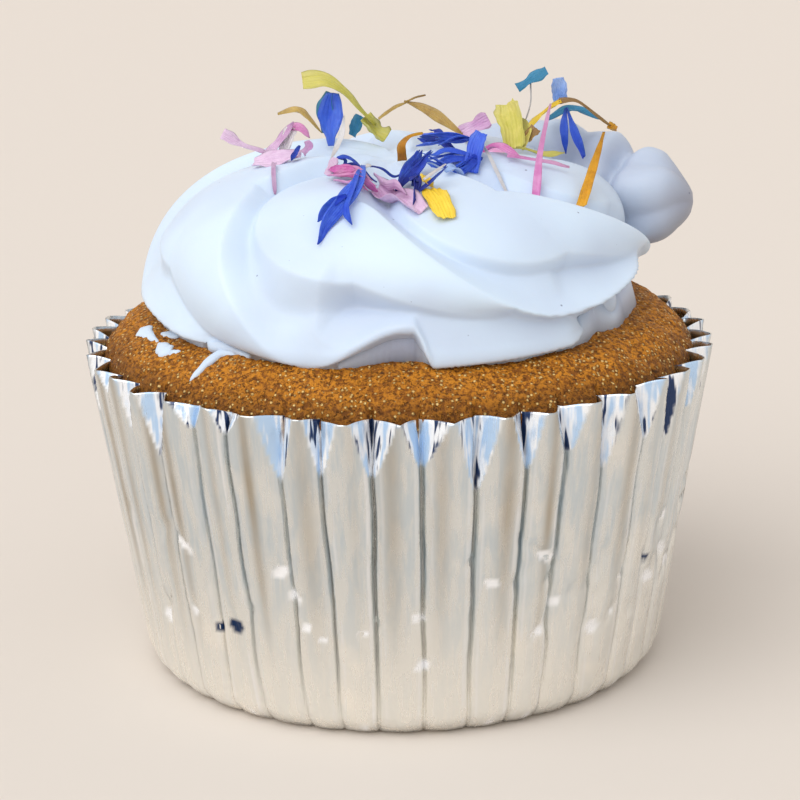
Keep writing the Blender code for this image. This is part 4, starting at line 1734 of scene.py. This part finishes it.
          2.4, Outline.CHIP, twist=25, cup=0.7, tint=(0.2, 0.5)),
    Petal(Kind.GREEN, ((12.3, 0.6, 49.8), (12.7, 3.2, 51.0), (12.4, 5.4, 52.0)), 1.3, roll=40,
          tint=(0.8, 0.0)),
    Petal(Kind.GREEN, ((11.6, -0.2, 0.6), (14.0, 1.2, 0.6), (16.4, 2.4, 0.8)), 0.75,
          tint=(0.0, 0.6)),
    Petal(Kind.OCHRE, ((12.6, 2.4, 50.4), (13.7, 3.0, 51.4)), 1.3, Outline.CHIP, tint=(0.4, 1.0)),
    # Yellow and brown arch that ends in a small orange bead.
    Petal(Kind.YELLOW, ((13.0, 7.6, 50.4), (14.6, 8.0, 52.0), (16.4, 8.0, 53.2)), 0.85,
          Outline.CHIP, roll=20, tint=(0.0, 0.5)),
    Petal(Kind.OCHRE, ((16.2, 8.0, 53.1), (18.0, 8.0, 53.1), (20.2, 8.0, 51.4), (21.3, 8.0, 50.6)),
          0.75, Outline.CLUB, tint=(0.9, 0.9)),
    Petal(Kind.ORANGE, ((21.0, 8.0, 50.6), (21.9, 8.0, 50.2)), 0.85, Outline.CHIP, cup=1.0,
          tint=(0.3, 0.6)),
)

TUFTS: tuple[Tuft, ...] = (
    Tuft(Kind.DEEP_BLUE, (0.0, -11.4, 0.5), (2.6, -8.2, 2.0), 9, 0.9, 0.75, 3),
    Tuft(Kind.DEEP_BLUE, (2.2, -10.4, 0.8), (1.4, -13.2, 1.2), 4, 0.6, 0.55, 4, (0.0, 0.2)),
    Tuft(Kind.BLUE, (7.8, -3.0, 1.0), (3.2, -4.4, 1.0), 9, 1.5, 0.75, 8, (0.1, 0.8)),
    Tuft(Kind.BLUE, (7.6, -1.6, 1.4), (3.0, -2.0, 1.6), 6, 1.4, 0.65, 9, (0.0, 0.6)),
    Tuft(Kind.DEEP_BLUE, (5.4, 1.0, 0.8), (3.2, 2.4, 1.6), 5, 1.1, 0.70, 12, (0.0, 0.3)),
    Tuft(Kind.PALE_BLUE, (6.8, -5.6, 0.7), (3.4, -6.4, 0.9), 4, 1.0, 0.60, 15, (0.2, 0.9)),
    Tuft(Kind.PINK, (-5.8, -9.2, 0.5), (-2.6, -11.2, 0.9), 5, 0.8, 0.55, 21, (0.2, 0.9)),
)


# ------------------------------------------------------------------- studio


@dataclass
class Studio:
    """Floor, soft white lamps, plain surroundings and the camera."""

    floor_size: float = 6.0
    floor_near: float = -2.5
    floor_run: float = 3.6
    floor_bend: float = 0.9
    wall_rise: float = 8.0
    distance: float = 241.8 * MM
    camera_height: float = 96.2 * MM
    pitch: float = 16.39
    roll: float = -1.0
    lens: float = 114.9
    room_strength: float = 0.74
    sun_strength: float = 0.52
    sun_angle: float = 60.0
    sun_place: Triple = (-0.42, -0.50, 0.76)

    def floor(self) -> None:
        """Lay the pale paper sweep that curves up far behind."""
        run = np.linspace(0.0, 1.0, 40)
        depth, level = [], []
        for t in run:
            bend = np.clip((t - 0.55) / 0.3, 0.0, 1.0) * 0.5 * math.pi
            ahead = self.floor_near + self.floor_run * min(t, 0.55) / 0.55
            depth.append(ahead + self.floor_bend * math.sin(bend))
            rise = self.floor_bend * (1.0 - math.cos(bend))
            level.append(rise + max(0.0, t - 0.85) * self.wall_rise)
        half = 0.5 * self.floor_size
        points = [(x, y, z) for y, z in zip(depth, level) for x in (-half, half)]
        faces = grid_faces(len(run), 2, wrap=False)
        piece = new_piece("floor", np.array(points), faces, FloorFinish().material())

    def sun(self) -> None:
        """Shine one soft white lamp from far away."""
        data = bpy.data.lights.new("key", "SUN")
        data.angle = math.radians(self.sun_angle)
        data.energy = self.sun_strength * math.pi
        lamp = bpy.data.objects.new("key", data)
        lamp.rotation_euler = (-Vector(self.sun_place)).to_track_quat("-Z", "Y").to_euler()
        bpy.context.scene.collection.objects.link(lamp)

    def surroundings(self) -> None:
        """Fill the room with even white light."""
        world = bpy.data.worlds.new("room")
        world.use_nodes = True
        back = world.node_tree.nodes["Background"]
        back.inputs["Color"].default_value = (1.0, 1.0, 1.0, 1.0)
        back.inputs["Strength"].default_value = self.room_strength
        bpy.context.scene.world = world

    def camera(self) -> None:
        """Set the camera in front, a little above the rim."""
        data = bpy.data.cameras.new("camera")
        data.lens = self.lens
        data.sensor_width = 36.0
        data.clip_start = 0.01
        camera = bpy.data.objects.new("camera", data)
        camera.location = (0.0, -self.distance, self.camera_height)
        turn = Euler((math.radians(90.0 - self.pitch), 0.0, 0.0)).to_matrix()
        roll = Euler((0.0, 0.0, math.radians(self.roll))).to_matrix()
        camera.rotation_euler = (turn @ roll).to_euler()
        bpy.context.scene.collection.objects.link(camera)
        bpy.context.scene.camera = camera

    def build(self) -> None:
        """Set up the whole studio."""
        self.floor()
        self.surroundings()
        self.sun()
        self.camera()
        bpy.context.scene.view_settings.view_transform = "Standard"


def settle(piece: bpy.types.Object, node: str | None = None) -> None:
    """Hand one piece to the frame.

    Args:
        piece: The piece.
        node: Solid of the frame that it stands for, if it does.
    """
    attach(piece, BODY)
    if node:
        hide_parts(node)
    log.info("%s: %d faces", piece.name, len(piece.data.polygons))


def main() -> None:
    """Build the cupcake and its studio."""
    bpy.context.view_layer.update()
    case = FoilCase()
    settle(case.build(FoilFinish().material()), "foil_case")
    cake = Cake(case)
    settle(cake.build(CrumbFinish().material()), "cake")
    frosting = PipedFrosting(cake)
    cream = frosting.build(CreamFinish().material())
    settle(cream, "frosting")
    settle(Smears(cake).build(CreamFinish().material()))
    for petals in PetalScatter(cream).build():
        settle(petals)
    Studio().build()
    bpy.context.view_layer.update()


if __name__ == "__main__":
    main()
